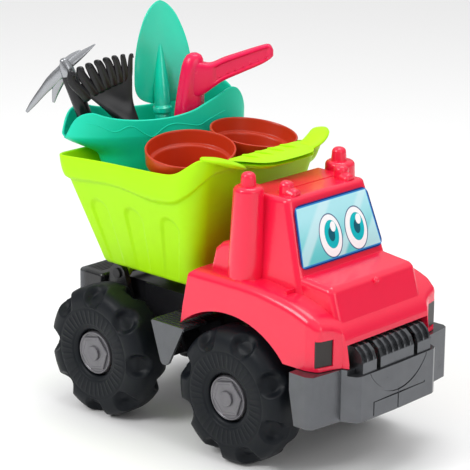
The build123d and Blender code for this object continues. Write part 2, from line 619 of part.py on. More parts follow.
def make_spout():
    """Fluted stem with a flat tapering arm at its top."""
    stem = loft([
        Plane(origin=load_point(27, 226, 3.5), x_dir=(*TUB_DIR, 0), z_dir=(0, 0, 1)) * Ellipse(8.0, 7.0),
        Plane(origin=load_point(32, 286, 15), x_dir=(*TUB_DIR, 0), z_dir=(0, 0, 1)) * Ellipse(14.6, 9.0),
        Plane(origin=load_point(35.5, 336, 16), x_dir=(*TUB_DIR, 0), z_dir=(0, 0, 1)) * Ellipse(10.4, 8.5),
    ], ruled=True)
    plane = Plane(origin=load_point(35.5, 0, 16), x_dir=(*ARM_DIR, 0), z_dir=(ARM_DIR[1], -ARM_DIR[0], 0))
    cap = [(-9.6, 335), (-7.5, 341), (-3, 345), (4, 345), (10, 341), (13, 333), (10, 325)]
    arm = [(5, 336), (16.5, 335.5), (46.5, 346.5), (71, 355), (75, 354), (78.5, 343.5), (68, 336),
           (46, 327), (28.5, 318.5), (10, 304.5), (5, 304)]
    cap = extrude(plane.offset(-8) * make_face(Polyline(*cap, close=True)), amount=16)
    arm = extrude(plane.offset(-8) * make_face(Polyline(*arm, close=True)), amount=16)
    flat = Plane(origin=load_point(35.5, 290, 16), x_dir=(*ARM_DIR, 0), z_dir=(0, 0, 1))
    for side in (1, -1):
        wedge = make_face(Polyline((20, side * 8.5), (90, side * 4.5), (90, side * 12), (20, side * 12),
                                   close=True))
        arm = arm - extrude(flat * wedge, amount=80)
    return stem + cap + arm


# ---------------------------------------------------------------- nodes
def on_wheel(shape, x, s, turn):
    """Put a wheel-frame shape on an axle end; turn is the first notch's angle in the side view."""
    plane = Plane(origin=(x, s * WHEEL_MID_Y, AXLE_Z), x_dir=(1, 0, 0), z_dir=(0, s, 0))
    return plane * (Rot(0, 0, -s * turn) * shape)


NODES = {
    "chassis": make_chassis(),
    "front_bumper": make_bumper(),
    "cab_shell": make_cab(),
    "windscreen_sticker": make_screen(),
    "head_lamp_panes": make_panes(),
    "cab_screws": make_screws(),
    "front_axle": make_axle(FRONT_X),
    "rear_axle": make_axle(REAR_X),
    "axle_push_nuts": make_nuts(),
    "bed_hinge_pin": make_pin(),
    "dump_bed": make_bed(),
    "garden_tub": make_tub(),
    "pot_right": make_pot(4.0, -45.5, 275.5, 0.13, -0.137),
    "pot_left": make_pot(2.5, 44.5, 275.5, 0.14, 0.03),
    "trowel": make_trowel(),
    "fan_rake": make_rake(),
    "hoe_handle": make_hoe_handle(),
    "hoe_head": make_hoe_head(),
    "watering_spout": make_spout(),
}
for place, x, turn in (("front", FRONT_X, FRONT_TURN), ("rear", REAR_X, REAR_TURN)):
    for side, s in (("right", -1), ("left", 1)):
        NODES[f"wheel_{place}_{side}"] = on_wheel(WHEEL, x, s, turn)
        NODES[f"hub_cap_{place}_{side}"] = on_wheel(CAP, x, s, 0.0)

for name, shape in NODES.items():
    solids = shape if isinstance(shape, list) else [shape]
    moved = [Pos(FRAME_X, FRAME_Y, 0) * s for s in solids]
    export_step(moved[0] if len(moved) == 1 else Compound(children=moved), f"parts/{name}.step")
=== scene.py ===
import json
import math

import bmesh
import bpy
from mathutils import Matrix, Vector


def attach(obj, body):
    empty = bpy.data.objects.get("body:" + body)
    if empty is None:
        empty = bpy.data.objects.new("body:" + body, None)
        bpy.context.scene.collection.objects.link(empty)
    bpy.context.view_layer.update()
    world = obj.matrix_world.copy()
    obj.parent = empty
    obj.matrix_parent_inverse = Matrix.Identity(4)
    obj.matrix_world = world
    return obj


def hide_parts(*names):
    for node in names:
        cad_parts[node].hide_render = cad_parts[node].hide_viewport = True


bl_info = {
    "name": "Garden tipper truck",
    "version": (1, 0, 0),
    "blender": (4, 5, 0),
    "location": "3D View > Sidebar > Tipper",
    "description": "Surfaces and finishes of a toy tipper truck with a load of garden toys",
    "category": "Add Mesh",
}

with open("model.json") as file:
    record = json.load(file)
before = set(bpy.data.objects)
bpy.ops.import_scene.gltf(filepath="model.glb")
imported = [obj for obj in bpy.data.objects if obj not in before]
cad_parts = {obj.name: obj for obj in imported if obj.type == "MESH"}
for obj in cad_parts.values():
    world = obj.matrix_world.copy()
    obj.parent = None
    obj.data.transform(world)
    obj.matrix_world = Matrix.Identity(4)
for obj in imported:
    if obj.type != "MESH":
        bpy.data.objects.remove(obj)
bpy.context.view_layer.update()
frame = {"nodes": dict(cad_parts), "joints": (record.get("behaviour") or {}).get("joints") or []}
MM = 0.001

# The load's drawing frame: u runs along the tub, w towards the truck's front right.
TUB_AT = Vector((-95.0, 5.0))
TUB_DIR = Vector((0.47, 0.8827))
HOE_DIR = Vector((0.9, 0.436))
ARM_DIR = Vector((0.751, 0.66))

PIVOT = next(j for j in frame["joints"] if j["name"] == "bed_tip")["pos_m"]
FRAME_X = PIVOT[0] / MM + 97.0


# ---------------------------------------------------------------- settings
class TIPPER_PG_sizes(bpy.types.PropertyGroup):
    wheel_radius: bpy.props.FloatProperty(
        name="Wheel radius", description="Over the lugs", default=0.065, unit="LENGTH")
    wheel_width: bpy.props.FloatProperty(
        name="Wheel width", description="Across the tread and both sides", default=0.045, unit="LENGTH")
    cup_depth: bpy.props.FloatProperty(
        name="Cup depth", description="How deep the scoops between the lugs are", default=0.0068,
        unit="LENGTH")
    lugs: bpy.props.IntProperty(
        name="Lugs", description="Lugs round each shoulder of a wheel", default=8, min=3)
    band_step: bpy.props.FloatProperty(
        name="Rim band", description="How far the bed's rim band stands out", default=0.004, unit="LENGTH")
    recess_depth: bpy.props.FloatProperty(
        name="Recess depth", description="Depth of the arch-topped recesses in the bed's sides",
        default=0.0022, unit="LENGTH")
    pot_rim: bpy.props.FloatProperty(
        name="Pot rim radius", description="Outer radius of a flower pot's rim", default=0.043, unit="LENGTH")


class TIPPER_PG_colours(bpy.types.PropertyGroup):
    cab: bpy.props.FloatVectorProperty(
        name="Cab", description="Glossy cab plastic", subtype="COLOR", default=(0.86, 0.008, 0.052))
    bed: bpy.props.FloatVectorProperty(
        name="Bed", description="Lime bed plastic", subtype="COLOR", default=(0.43, 0.86, 0.001))
    trim: bpy.props.FloatVectorProperty(
        name="Chassis", description="Dark metallic-grey plastic", subtype="COLOR",
        default=(0.13, 0.135, 0.145))
    wheel: bpy.props.FloatVectorProperty(
        name="Wheel", description="Blue-black wheel plastic", subtype="COLOR", default=(0.007, 0.009, 0.012))
    cap: bpy.props.FloatVectorProperty(
        name="Hub cap", description="Grey metallic hub caps", subtype="COLOR", default=(0.19, 0.185, 0.20))
    teal: bpy.props.FloatVectorProperty(
        name="Tub and trowel", description="Teal plastic", subtype="COLOR", default=(0.005, 0.70, 0.47))
    pot: bpy.props.FloatVectorProperty(
        name="Pots", description="Terracotta plastic", subtype="COLOR", default=(0.52, 0.034, 0.007))
    spout: bpy.props.FloatVectorProperty(
        name="Spout", description="Pink-red plastic", subtype="COLOR", default=(0.84, 0.006, 0.085))
    black: bpy.props.FloatVectorProperty(
        name="Rake", description="Near-black tool plastic", subtype="COLOR", default=(0.010, 0.010, 0.012))
    silver: bpy.props.FloatVectorProperty(
        name="Hoe head", description="Silver-grey tool plastic", subtype="COLOR", default=(0.36, 0.37, 0.39))


# ---------------------------------------------------------------- node helpers
def group_tree(name, inputs, outputs):
    tree = bpy.data.node_groups.new(name, "ShaderNodeTree")
    for label, kind, value in inputs:
        socket = tree.interface.new_socket(name=label, in_out="INPUT", socket_type=kind)
        if value is not None:
            socket.default_value = value
    for label, kind in outputs:
        tree.interface.new_socket(name=label, in_out="OUTPUT", socket_type=kind)
    return tree, tree.nodes.new("NodeGroupInput"), tree.nodes.new("NodeGroupOutput")


def wire(tree, value, socket):
    if isinstance(value, (int, float, tuple)):
        socket.default_value = value
    else:
        tree.links.new(value, socket)


def maths(tree, operation, a, b=None, c=None, clamp=False):
    node = tree.nodes.new("ShaderNodeMath")
    node.operation, node.use_clamp = operation, clamp
    for i, value in enumerate((a, b, c)):
        if value is not None:
            wire(tree, value, node.inputs[i])
    return node.outputs[0]


def smooth(tree, value, low, high):
    node = tree.nodes.new("ShaderNodeMapRange")
    node.interpolation_type = "SMOOTHSTEP"
    for label, v in (("Value", value), ("From Min", low), ("From Max", high)):
        wire(tree, v, node.inputs[label])
    return node.outputs["Result"]


def mix(tree, factor, a, b):
    node = tree.nodes.new("ShaderNodeMix")
    node.data_type = "RGBA"
    for value, socket in ((factor, node.inputs[0]), (a, node.inputs[6]), (b, node.inputs[7])):
        wire(tree, value, socket)
    return node.outputs[2]


def noise(tree, vector, scale, detail=2.0):
    node = tree.nodes.new("ShaderNodeTexNoise")
    tree.links.new(vector, node.inputs["Vector"])
    node.inputs["Scale"].default_value, node.inputs["Detail"].default_value = scale, detail
    return node.outputs["Fac"]


def moulded_group():
    """Moulded plastic: fine grain, slow ripples in the skin and a slightly uneven gloss."""
    tree, ins, outs = group_tree(
        "Moulded plastic",
        [("Grain Scale", "NodeSocketFloat", 1500.0), ("Grain", "NodeSocketFloat", 0.2),
         ("Ripple", "NodeSocketFloat", 0.3), ("Gloss Low", "NodeSocketFloat", 0.2),
         ("Gloss High", "NodeSocketFloat", 0.3), ("Colour", "NodeSocketColor", (1, 1, 1, 1)),
         ("Shade", "NodeSocketFloat", 0.06)],
        [("Colour", "NodeSocketColor"), ("Roughness", "NodeSocketFloat"), ("Height", "NodeSocketFloat")])
    place = tree.nodes.new("ShaderNodeTexCoord").outputs["Object"]
    fine = tree.nodes.new("ShaderNodeTexNoise")
    tree.links.new(place, fine.inputs["Vector"])
    tree.links.new(ins.outputs["Grain Scale"], fine.inputs["Scale"])
    broad = noise(tree, place, 38.0)
    smudge = noise(tree, place, 90.0, 4.0)
    height = maths(tree, "ADD", maths(tree, "MULTIPLY", fine.outputs["Fac"], ins.outputs["Grain"]),
                   maths(tree, "MULTIPLY", broad, ins.outputs["Ripple"]))
    span = maths(tree, "SUBTRACT", ins.outputs["Gloss High"], ins.outputs["Gloss Low"])
    rough = maths(tree, "ADD", ins.outputs["Gloss Low"], maths(tree, "MULTIPLY", smudge, span))
    dark = maths(tree, "SUBTRACT", 1.0, maths(tree, "MULTIPLY", ins.outputs["Shade"], smudge))
    shade = tree.nodes.new("ShaderNodeVectorMath")
    shade.operation = "SCALE"
    tree.links.new(ins.outputs["Colour"], shade.inputs[0])
    tree.links.new(dark, shade.inputs["Scale"])
    tree.links.new(shade.outputs[0], outs.inputs["Colour"])
    tree.links.new(rough, outs.inputs["Roughness"])
    tree.links.new(height, outs.inputs["Height"])
    return tree


def outboard_group():
    """Mask for the painted shade under the bed: 1 on the steps and the tail, 0 on the deck, the spine and the
    ears.
    """
    tree, ins, outs = group_tree("Outboard", [], [("Mask", "NodeSocketFloat")])
    place = tree.nodes.new("ShaderNodeTexCoord").outputs["Object"]
    split = tree.nodes.new("ShaderNodeSeparateXYZ")
    tree.links.new(place, split.inputs[0])
    side = smooth(tree, maths(tree, "ABSOLUTE", split.outputs["Y"]), 0.064, 0.069)
    tail = smooth(tree, maths(tree, "MULTIPLY", split.outputs["X"], -1.0), 0.155, 0.165)
    tree.links.new(maths(tree, "MAXIMUM", side, tail), outs.inputs["Mask"])
    return tree


def paint_deck_shade(material, inner):
    """Painted shade under the bed: darken a finish everywhere but outboard, and drop its metal there."""
    tree = material.node_tree
    shader = tree.nodes["Principled BSDF"]
    group = tree.nodes.new("ShaderNodeGroup")
    group.node_tree = bpy.data.node_groups.get("Outboard") or outboard_group()
    source = shader.inputs["Base Color"].links[0].from_socket
    # Painted shade: inner is the near-black colour of the shaded deck, spine and ears
    tree.links.new(mix(tree, group.outputs["Mask"], (*inner, 1.0), source), shader.inputs["Base Color"])
    tree.links.new(maths(tree, "MULTIPLY", group.outputs["Mask"], 0.8), shader.inputs["Metallic"])
    return material


def oval_group():
    """Soft-edged oval: 1 inside, 0 outside, from flat coordinates in millimetres."""
    tree, ins, outs = group_tree(
        "Oval", [("Vector", "NodeSocketVector", None), ("X", "NodeSocketFloat", 0.0),
                 ("Y", "NodeSocketFloat", 0.0), ("Half Width", "NodeSocketFloat", 1.0),
                 ("Half Height", "NodeSocketFloat", 1.0)], [("Mask", "NodeSocketFloat")])
    split = tree.nodes.new("ShaderNodeSeparateXYZ")
    tree.links.new(ins.outputs["Vector"], split.inputs[0])
    dx = maths(tree, "DIVIDE", maths(tree, "SUBTRACT", split.outputs[0], ins.outputs["X"]),
               ins.outputs["Half Width"])
    dy = maths(tree, "DIVIDE", maths(tree, "SUBTRACT", split.outputs[1], ins.outputs["Y"]),
               ins.outputs["Half Height"])
    reach = maths(tree, "SQRT", maths(tree, "ADD", maths(tree, "MULTIPLY", dx, dx),
                                      maths(tree, "MULTIPLY", dy, dy)))
    tree.links.new(maths(tree, "SUBTRACT", 1.0, smooth(tree, reach, 0.98, 1.02)), outs.inputs["Mask"])
    return tree


def plastic(name, colour, rough=(0.2, 0.3), grain=0.15, ripple=0.3, bump=0.0002, metal=0.0, coat=0.0,
            glow=0.0, scale=1500.0, shade=0.06, shine=0.5):
    """Moulded plastic; glow is the light that spreads under the skin of a bright colour."""
    material = bpy.data.materials.new(name)
    material.use_nodes = True
    tree = material.node_tree
    shader = tree.nodes["Principled BSDF"]
    group = tree.nodes.new("ShaderNodeGroup")
    group.node_tree = bpy.data.node_groups.get("Moulded plastic") or moulded_group()
    for label, value in (("Grain Scale", scale), ("Grain", grain), ("Ripple", ripple), ("Gloss Low", rough[0]),
                         ("Gloss High", rough[1]), ("Colour", (*colour, 1.0)), ("Shade", shade)):
        group.inputs[label].default_value = value
    tree.links.new(group.outputs["Colour"], shader.inputs["Base Color"])
    tree.links.new(group.outputs["Roughness"], shader.inputs["Roughness"])
    push = tree.nodes.new("ShaderNodeBump")
    push.inputs["Distance"].default_value = bump
    push.inputs["Strength"].default_value = 0.6
    tree.links.new(group.outputs["Height"], push.inputs["Height"])
    tree.links.new(push.outputs["Normal"], shader.inputs["Normal"])
    shader.inputs["Metallic"].default_value = metal
    shader.inputs["Specular IOR Level"].default_value = shine
    shader.inputs["Coat Weight"].default_value = coat
    shader.inputs["Coat Roughness"].default_value = 0.12
    shader.inputs["Subsurface Weight"].default_value = glow
    shader.inputs["Subsurface Radius"].default_value = (0.004, 0.002, 0.0015)
    shader.inputs["Subsurface Scale"].default_value = 0.6
    return material


# ---------------------------------------------------------------- mesh helpers
def at(x, y, z):
    """Drawing millimetres to the row frame in metres."""
    return Vector(((x + FRAME_X) * MM, y * MM, z * MM))


def load_at(u, z, w=0.0):
    """Point in the load's frame, in millimetres, to the row frame in metres."""
    x = TUB_AT.x + u * TUB_DIR.x + w * TUB_DIR.y
    y = TUB_AT.y + u * TUB_DIR.y - w * TUB_DIR.x
    return at(x, y, z)


def ease(value, low, high):
    """0 below low, 1 above high, smooth between."""
    t = min(max((value - low) / (high - low), 0.0), 1.0)
    return t * t * (3 - 2 * t)


def through(points, x):
    """Height at x of a smooth curve through the points, which rise in x."""
    if x <= points[0][0]:
        return points[0][1]
    for i in range(len(points) - 1):
        (x0, y0), (x1, y1) = points[i], points[i + 1]
        if x <= x1:
            before = points[max(i - 1, 0)]
            after = points[min(i + 2, len(points) - 1)]
            m0 = (y1 - before[1]) / max(x1 - before[0], 1e-9) * (x1 - x0)
            m1 = (after[1] - y0) / max(after[0] - x0, 1e-9) * (x1 - x0)
            t = (x - x0) / (x1 - x0)
            return ((2 * t**3 - 3 * t**2 + 1) * y0 + (t**3 - 2 * t**2 + t) * m0
                    + (3 * t**2 - 2 * t**3) * y1 + (t**3 - t**2) * m1)
    return points[-1][1]


def between(start, end, t):
    """Point at t on the line from start to end."""
    return tuple(a + (b - a) * t for a, b in zip(start, end))


def loft(rings, cap_start=True, cap_end=True):
    """Skin over rings of equally many points: a circle, extruded ring by ring and set on each ring."""
    bm = bmesh.new()
    row = bmesh.ops.create_circle(bm, segments=len(rings[0]), radius=1.0)["verts"]
    for v, p in zip(row, rings[0]):
        v.co = p
    edges = bm.edges[:]
    if cap_start:
        bm.faces.new(row)
    for ring in rings[1:]:
        grown = bmesh.ops.extrude_edge_only(bm, edges=edges)["geom"]
        fresh = {g for g in grown if isinstance(g, bmesh.types.BMVert)}
        step = []
        for v, p in zip(row, ring):
            new = next(o for o in (e.other_vert(v) for e in v.link_edges) if o in fresh)
            new.co = p
            step.append(new)
        row = step
        edges = [e for e in {e for v in row for e in v.link_edges} if all(v in fresh for v in e.verts)]
    if cap_end:
        bm.faces.new(row)
    return bm


def lathe(profile, place, segments=96):
    """Closed r and height outline spun round; place sets each point of it in the row frame."""
    rings = []
    for i in range(segments):
        a = 2 * math.pi * i / segments
        rings.append([place(r * math.cos(a), r * math.sin(a), h) for r, h in profile])
    bm = loft(rings + [rings[0]], False, False)
    bmesh.ops.remove_doubles(bm, verts=bm.verts, dist=1e-7)
    return bm


def disc(plane, radius, height=0.0, segments=64):
    return [plane(radius * math.cos(a), radius * math.sin(a), height)
            for a in (2 * math.pi * i / segments for i in range(segments))]


def tube(path, radii, segments=24, flat=1.0, side=None, round_ends=True):
    """Round bar along a path; flat squeezes it across side, the direction of its wide axis."""
    rings = []
    side = Vector(side or (0.3, 0.2, 1.0)).normalized()
    count = len(path)
    for i, (p, r) in enumerate(zip(path, radii)):
        ahead = (path[min(i + 1, count - 1)] - path[max(i - 1, 0)]).normalized()
        wide = (side - ahead * side.dot(ahead)).normalized()
        thin = ahead.cross(wide)
        steps = [(p, r)]
        if round_ends and i in (0, count - 1):
            out = -ahead if i == 0 else ahead
            steps = [(p + out * (0.5 * r * math.sin(a)), r * math.cos(a)) for a in (0.0, 0.5, 0.95, 1.3)]
            if i == 0:
                steps.reverse()
        for q, s in steps:
            rings.append([q + (wide * math.cos(a) + thin * math.sin(a) * flat) * s
                          for a in (2 * math.pi * k / segments for k in range(segments))])
    return loft(rings)


def bezier(points, steps=8):
    """Smooth path through the points."""
    path = []
    for axis in range(3):
        line = [(i, p[axis]) for i, p in enumerate(points)]
        path.append([through(line, k / steps) for k in range((len(points) - 1) * steps + 1)])
    return [Vector(p) for p in zip(*path)]


def join(parts):
    """One bmesh out of several; each part is freed."""
    whole = bmesh.new()
    for part in parts:
        mesh = bpy.data.meshes.new("part")
        part.to_mesh(mesh)
        part.free()
        whole.from_mesh(mesh)
        bpy.data.meshes.remove(mesh)
    return whole


def piece(name, bm, material, body, slot, *nodes, sharp=38.0, recalc=True):
    """Finish a mesh as one piece that rides on a body and stands for its CAD nodes."""
    if recalc:
        bmesh.ops.recalc_face_normals(bm, faces=bm.faces)
    limit = math.radians(sharp)
    for face in bm.faces:
        face.smooth = True
    for edge in bm.edges:
        edge.smooth = len(edge.link_faces) == 2 and edge.calc_face_angle(0.0) < limit
    mesh = bpy.data.meshes.new(name)
    bm.to_mesh(mesh)
    bm.free()
    for m in material if isinstance(material, list) else [material]:
        mesh.materials.append(m)
    obj = bpy.data.objects.new(name, mesh)
    bpy.context.scene.collection.objects.link(obj)
    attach(obj, body)
    if nodes:
        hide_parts(*nodes)
    return obj


def sizes():
    return bpy.context.scene.tipper_sizes


def colours():
    return bpy.context.scene.tipper_colours


def finish(name):
    """The truck's finishes, each made once."""
    made = bpy.data.materials.get(name)
    if made:
        return made
    c = colours()
    recipes = {
        "cab red": lambda: plastic(
            name, c.cab, (0.2, 0.28), 0.05, 0.4, 0.0002, glow=0.1, shine=0.45, coat=0.3),
        "chassis grey": lambda: plastic(name, c.trim, (0.2, 0.3), 0.25, 0.3, 0.00015, metal=0.85, shade=0.25),
        # Painted shade: the chassis deck, spine and ears under the bed get a near-black colour
        "chassis with painted deck shade": lambda: paint_deck_shade(
            plastic(name, c.trim, (0.2, 0.3), 0.25, 0.3, 0.00015, metal=0.85, shade=0.25),
            (0.012, 0.012, 0.014)),
        "lamp pane": lambda: plastic(name, (0.03, 0.026, 0.024), (0.3, 0.4), 0.3, 0.2, 0.0002, shine=0.3),
        "wheel black": lambda: plastic(name, c.wheel, (0.36, 0.5), 0.5, 0.3, 0.0003, shade=0.2, shine=0.16),
        "cap grey": lambda: plastic(name, c.cap, (0.3, 0.42), 0.5, 0.3, 0.0002, metal=0.6, shade=0.3),
        "bed lime": lambda: plastic(name, c.bed, (0.42, 0.52), 0.25, 0.5, 0.0003, glow=0.1, shine=0.2),
        "tub teal": lambda: plastic(name, c.teal, (0.32, 0.42), 0.2, 0.5, 0.0003, glow=0.1, shine=0.3),
        "trowel teal": lambda: plastic(name, c.teal, (0.13, 0.2), 0.1, 0.5, 0.0003, glow=0.1, coat=0.5),
        "pot terracotta": lambda: plastic(name, c.pot, (0.26, 0.36), 0.3, 0.3, 0.0002, shine=0.35),
        "spout red": lambda: plastic(
            name, c.spout, (0.22, 0.3), 0.1, 0.5, 0.0003, glow=0.15, shine=0.4, coat=0.1),
        "tool black": lambda: plastic(name, c.black, (0.2, 0.3), 0.1, 0.5, 0.0003, shine=0.35),
        "tool grey": lambda: plastic(name, c.silver, (0.2, 0.3), 0.2, 0.5, 0.0003, metal=0.85),
        "steel": lambda: plastic(name, (0.6, 0.6, 0.61), (0.25, 0.35), 0.3, 0.1, 0.0001, metal=1.0),
        "black steel": lambda: plastic(name, (0.02, 0.02, 0.022), (0.3, 0.4), 0.3, 0.1, 0.0001, metal=0.3),
    }
    return recipes[name]()


# ---------------------------------------------------------------- pieces
class TIPPER_OT_finishes(bpy.types.Operator):
    """Give the frame's own pieces their finishes"""
    bl_idname = "tipper.finishes"
    bl_label = "Frame finishes"

    def execute(self, context):
        for name, node in frame["nodes"].items():
            # The chassis finish carries painted shade on its deck under the bed
            look = {"cab_shell": "cab red", "chassis": "chassis with painted deck shade", "front_bumper": "chassis grey",
                    "head_lamp_panes": "lamp pane", "bed_hinge_pin": "black steel"}.get(name, "steel")
            node.data.materials.clear()
            node.data.materials.append(finish(look))
        return {"FINISHED"}


def wheel_places():
    """Name, phase of the lugs and placing function of each wheel."""
    for axle, turn in (("front", math.radians(27.0)), ("rear", math.radians(0.6))):
        for side, s in (("right", -1), ("left", 1)):
            name = f"{axle}_{side}"
            centre = Vector(next(j for j in frame["joints"] if j["name"] == f"spin_{name}")["pos_m"])

            def place(x, z, w, s=s, centre=centre):
                return centre + Vector((x, s * w, z)) * MM

            yield name, turn, place


class TIPPER_OT_wheels(bpy.types.Operator):
    """Four hollow wheels with scooped shoulders"""
    bl_idname = "tipper.wheels"
    bl_label = "Wheels"

    def skin(self, place, turn):
        size = sizes()
        radius, half, depth = (v / MM for v in (size.wheel_radius, size.wheel_width / 2, size.cup_depth))
        pitch = 2 * math.pi / size.lugs
        outer = [(23.6, 11.5), (23.6, 14.0), (23.7, half - 4.2), (24.4, half - 3.2), (26.5, half - 2.0),
                 (27.4, half - 1.9), (28.2, half - 1.6)]
        outer += [(r, half - 0.9 + 0.9 * math.sin(math.pi * (r - 28) / 26)) for r in range(29, 45)]
        outer += [(44.6, half - 0.2), (45.4, half - 0.35), (46.2, half - 0.1)]
        shoulder = []
        for i in range(17):
            a = math.pi / 2 * i / 16
            shoulder.append((47.0 + (radius - 47.0) * math.sin(a) ** 0.86,
                             3.0 + (half - 3.0) * math.cos(a) ** 0.62))
        tread = [(radius, 2.0), (radius, 1.0)]
        face = outer + shoulder + tread
        back = [(r, -w) for r, w in reversed(shoulder + tread)]
        back += [(r, -half + 0.05) for r in (45.5, 43, 40, 37, 34)]
        back += [(31.5, -half + 0.4), (30.0, -half + 1.4)]
        back += [(24.0, -half + 5.6), (22.0, -half + 6.0), (10.0, -half + 6.0), (10.0, -half), (4.0, -half),
                 (3.2, -half), (3.1, -half + 1), (3.1, 11.4), (3.3, 11.5), (8.0, 11.5), (15.0, 11.5)]
        profile = face + back
        # Distance along the outline from the middle of the tread, for the scoops
        middle = len(face) - 1
        run = [0.0] * len(profile)
        for i in range(middle - 1, -1, -1):
            run[i] = run[i + 1] + math.dist(profile[i], profile[i + 1])
        for i in range(middle + 1, len(profile)):
            run[i] = run[i - 1] + math.dist(profile[i], profile[i - 1])
        count = 45 * size.lugs
        rings = []
        for k in range(count):
            a = 2 * math.pi * k / count
            ring = []
            for i, (r, w) in enumerate(profile):
                phase = (a - turn) / pitch - (0.0 if i <= middle else 0.5)
                off = (phase - round(phase)) * pitch * max(r, 30)
                q = math.hypot(off / 12.6, (run[i] - 19.5) / 15.5)
                corner = math.exp(-((run[i] - 17.0) / 9.0) ** 2)
                dip = depth * (0.66 + 0.6 * corner) * (1 - ease(q, 0.62, 1.04)) if r > 46.3 else 0.0
                inward = Vector((46.0 - r, math.copysign(4.0, w) - w)).normalized()
                rib = 0.35 * (1 - ease(abs((a * 40 / (2 * math.pi)) % 1 - 0.5), 0.12, 0.2)) \
                    * ease(r, 29.5, 30.5) * (1 - ease(r, 42.5, 43.5)) if i <= middle else 0.0
                rr, ww = r + inward.x * dip, w + inward.y * dip + rib
                ring.append(place(rr * math.cos(a), rr * math.sin(a), ww))
            rings.append(ring)
        bm = loft(rings + [rings[0]], False, False)
        bmesh.ops.remove_doubles(bm, verts=bm.verts, dist=1e-7)
        return bm

    def execute(self, context):
        for name, turn, place in wheel_places():
            piece(f"tyre_{name}", self.skin(place, turn), finish("wheel black"), f"wheel_{name}_body",
                  "wheel_black", f"wheel_{name}", sharp=50)
        return {"FINISHED"}


class TIPPER_OT_hub_caps(bpy.types.Operator):
    """Hub caps with a raised hexagon and a round boss"""
    bl_idname = "tipper.hub_caps"
    bl_label = "Hub caps"

    def execute(self, context):
        face = 20.4
        rim = [(18.9, 11.6), (21.0, 11.6), (21.3, 12.0), (21.3, face - 2.2), (21.0, face - 1.3),
               (20.5, face - 0.8), (19.8, face - 0.8), (19.2, face - 1.1), (18.8, face - 1.6),
               (18.2, face - 1.8), (0.02, face - 1.8), (0.02, face - 5.0), (18.9, face - 5.0)]
        corners = [math.radians(12 + 60 * k) for k in range(6)]
        steps = ((18.3, -2.0), (18.3, -0.5), (17.57, 0.2), (15.74, 0.2), (15.19, -0.2))
        crown = ((7.4, -0.6), (7.4, 1.5), (7.0, 2.1), (6.2, 2.3), (5.0, 2.1), (3.4, 2.0))
        for name, _, place in wheel_places():
            nut = loft([[place(r * math.cos(a), r * math.sin(a), face + h) for a in corners] for r, h in steps])
            boss = loft([disc(place, r, face + h, 48) for r, h in crown])
            piece(f"cap_{name}", join([lathe(rim, place), nut, boss]), finish("cap grey"),
                  f"wheel_{name}_body", "cap_grey", f"hub_cap_{name}", sharp=32)
        return {"FINISHED"}


BAND_LOW = [(-140, 231), (-113, 230.5), (-65, 235), (-38, 234), (-11, 230), (12, 230.5), (30, 234.5),
            (40, 243), (47, 253), (53, 259), (60, 262)]
RIM_TOP = [(-150, 252.5), (-131, 253.5), (-70, 257.5), (-16, 259.6), (8, 260.8), (19, 262.4), (27, 266),
           (36, 273.4), (43, 279.4), (49, 281.4), (60, 281.6)]
ARCHES = ((-88.0, -81.0), (-42.0, -46.0), (6.0, -9.0))


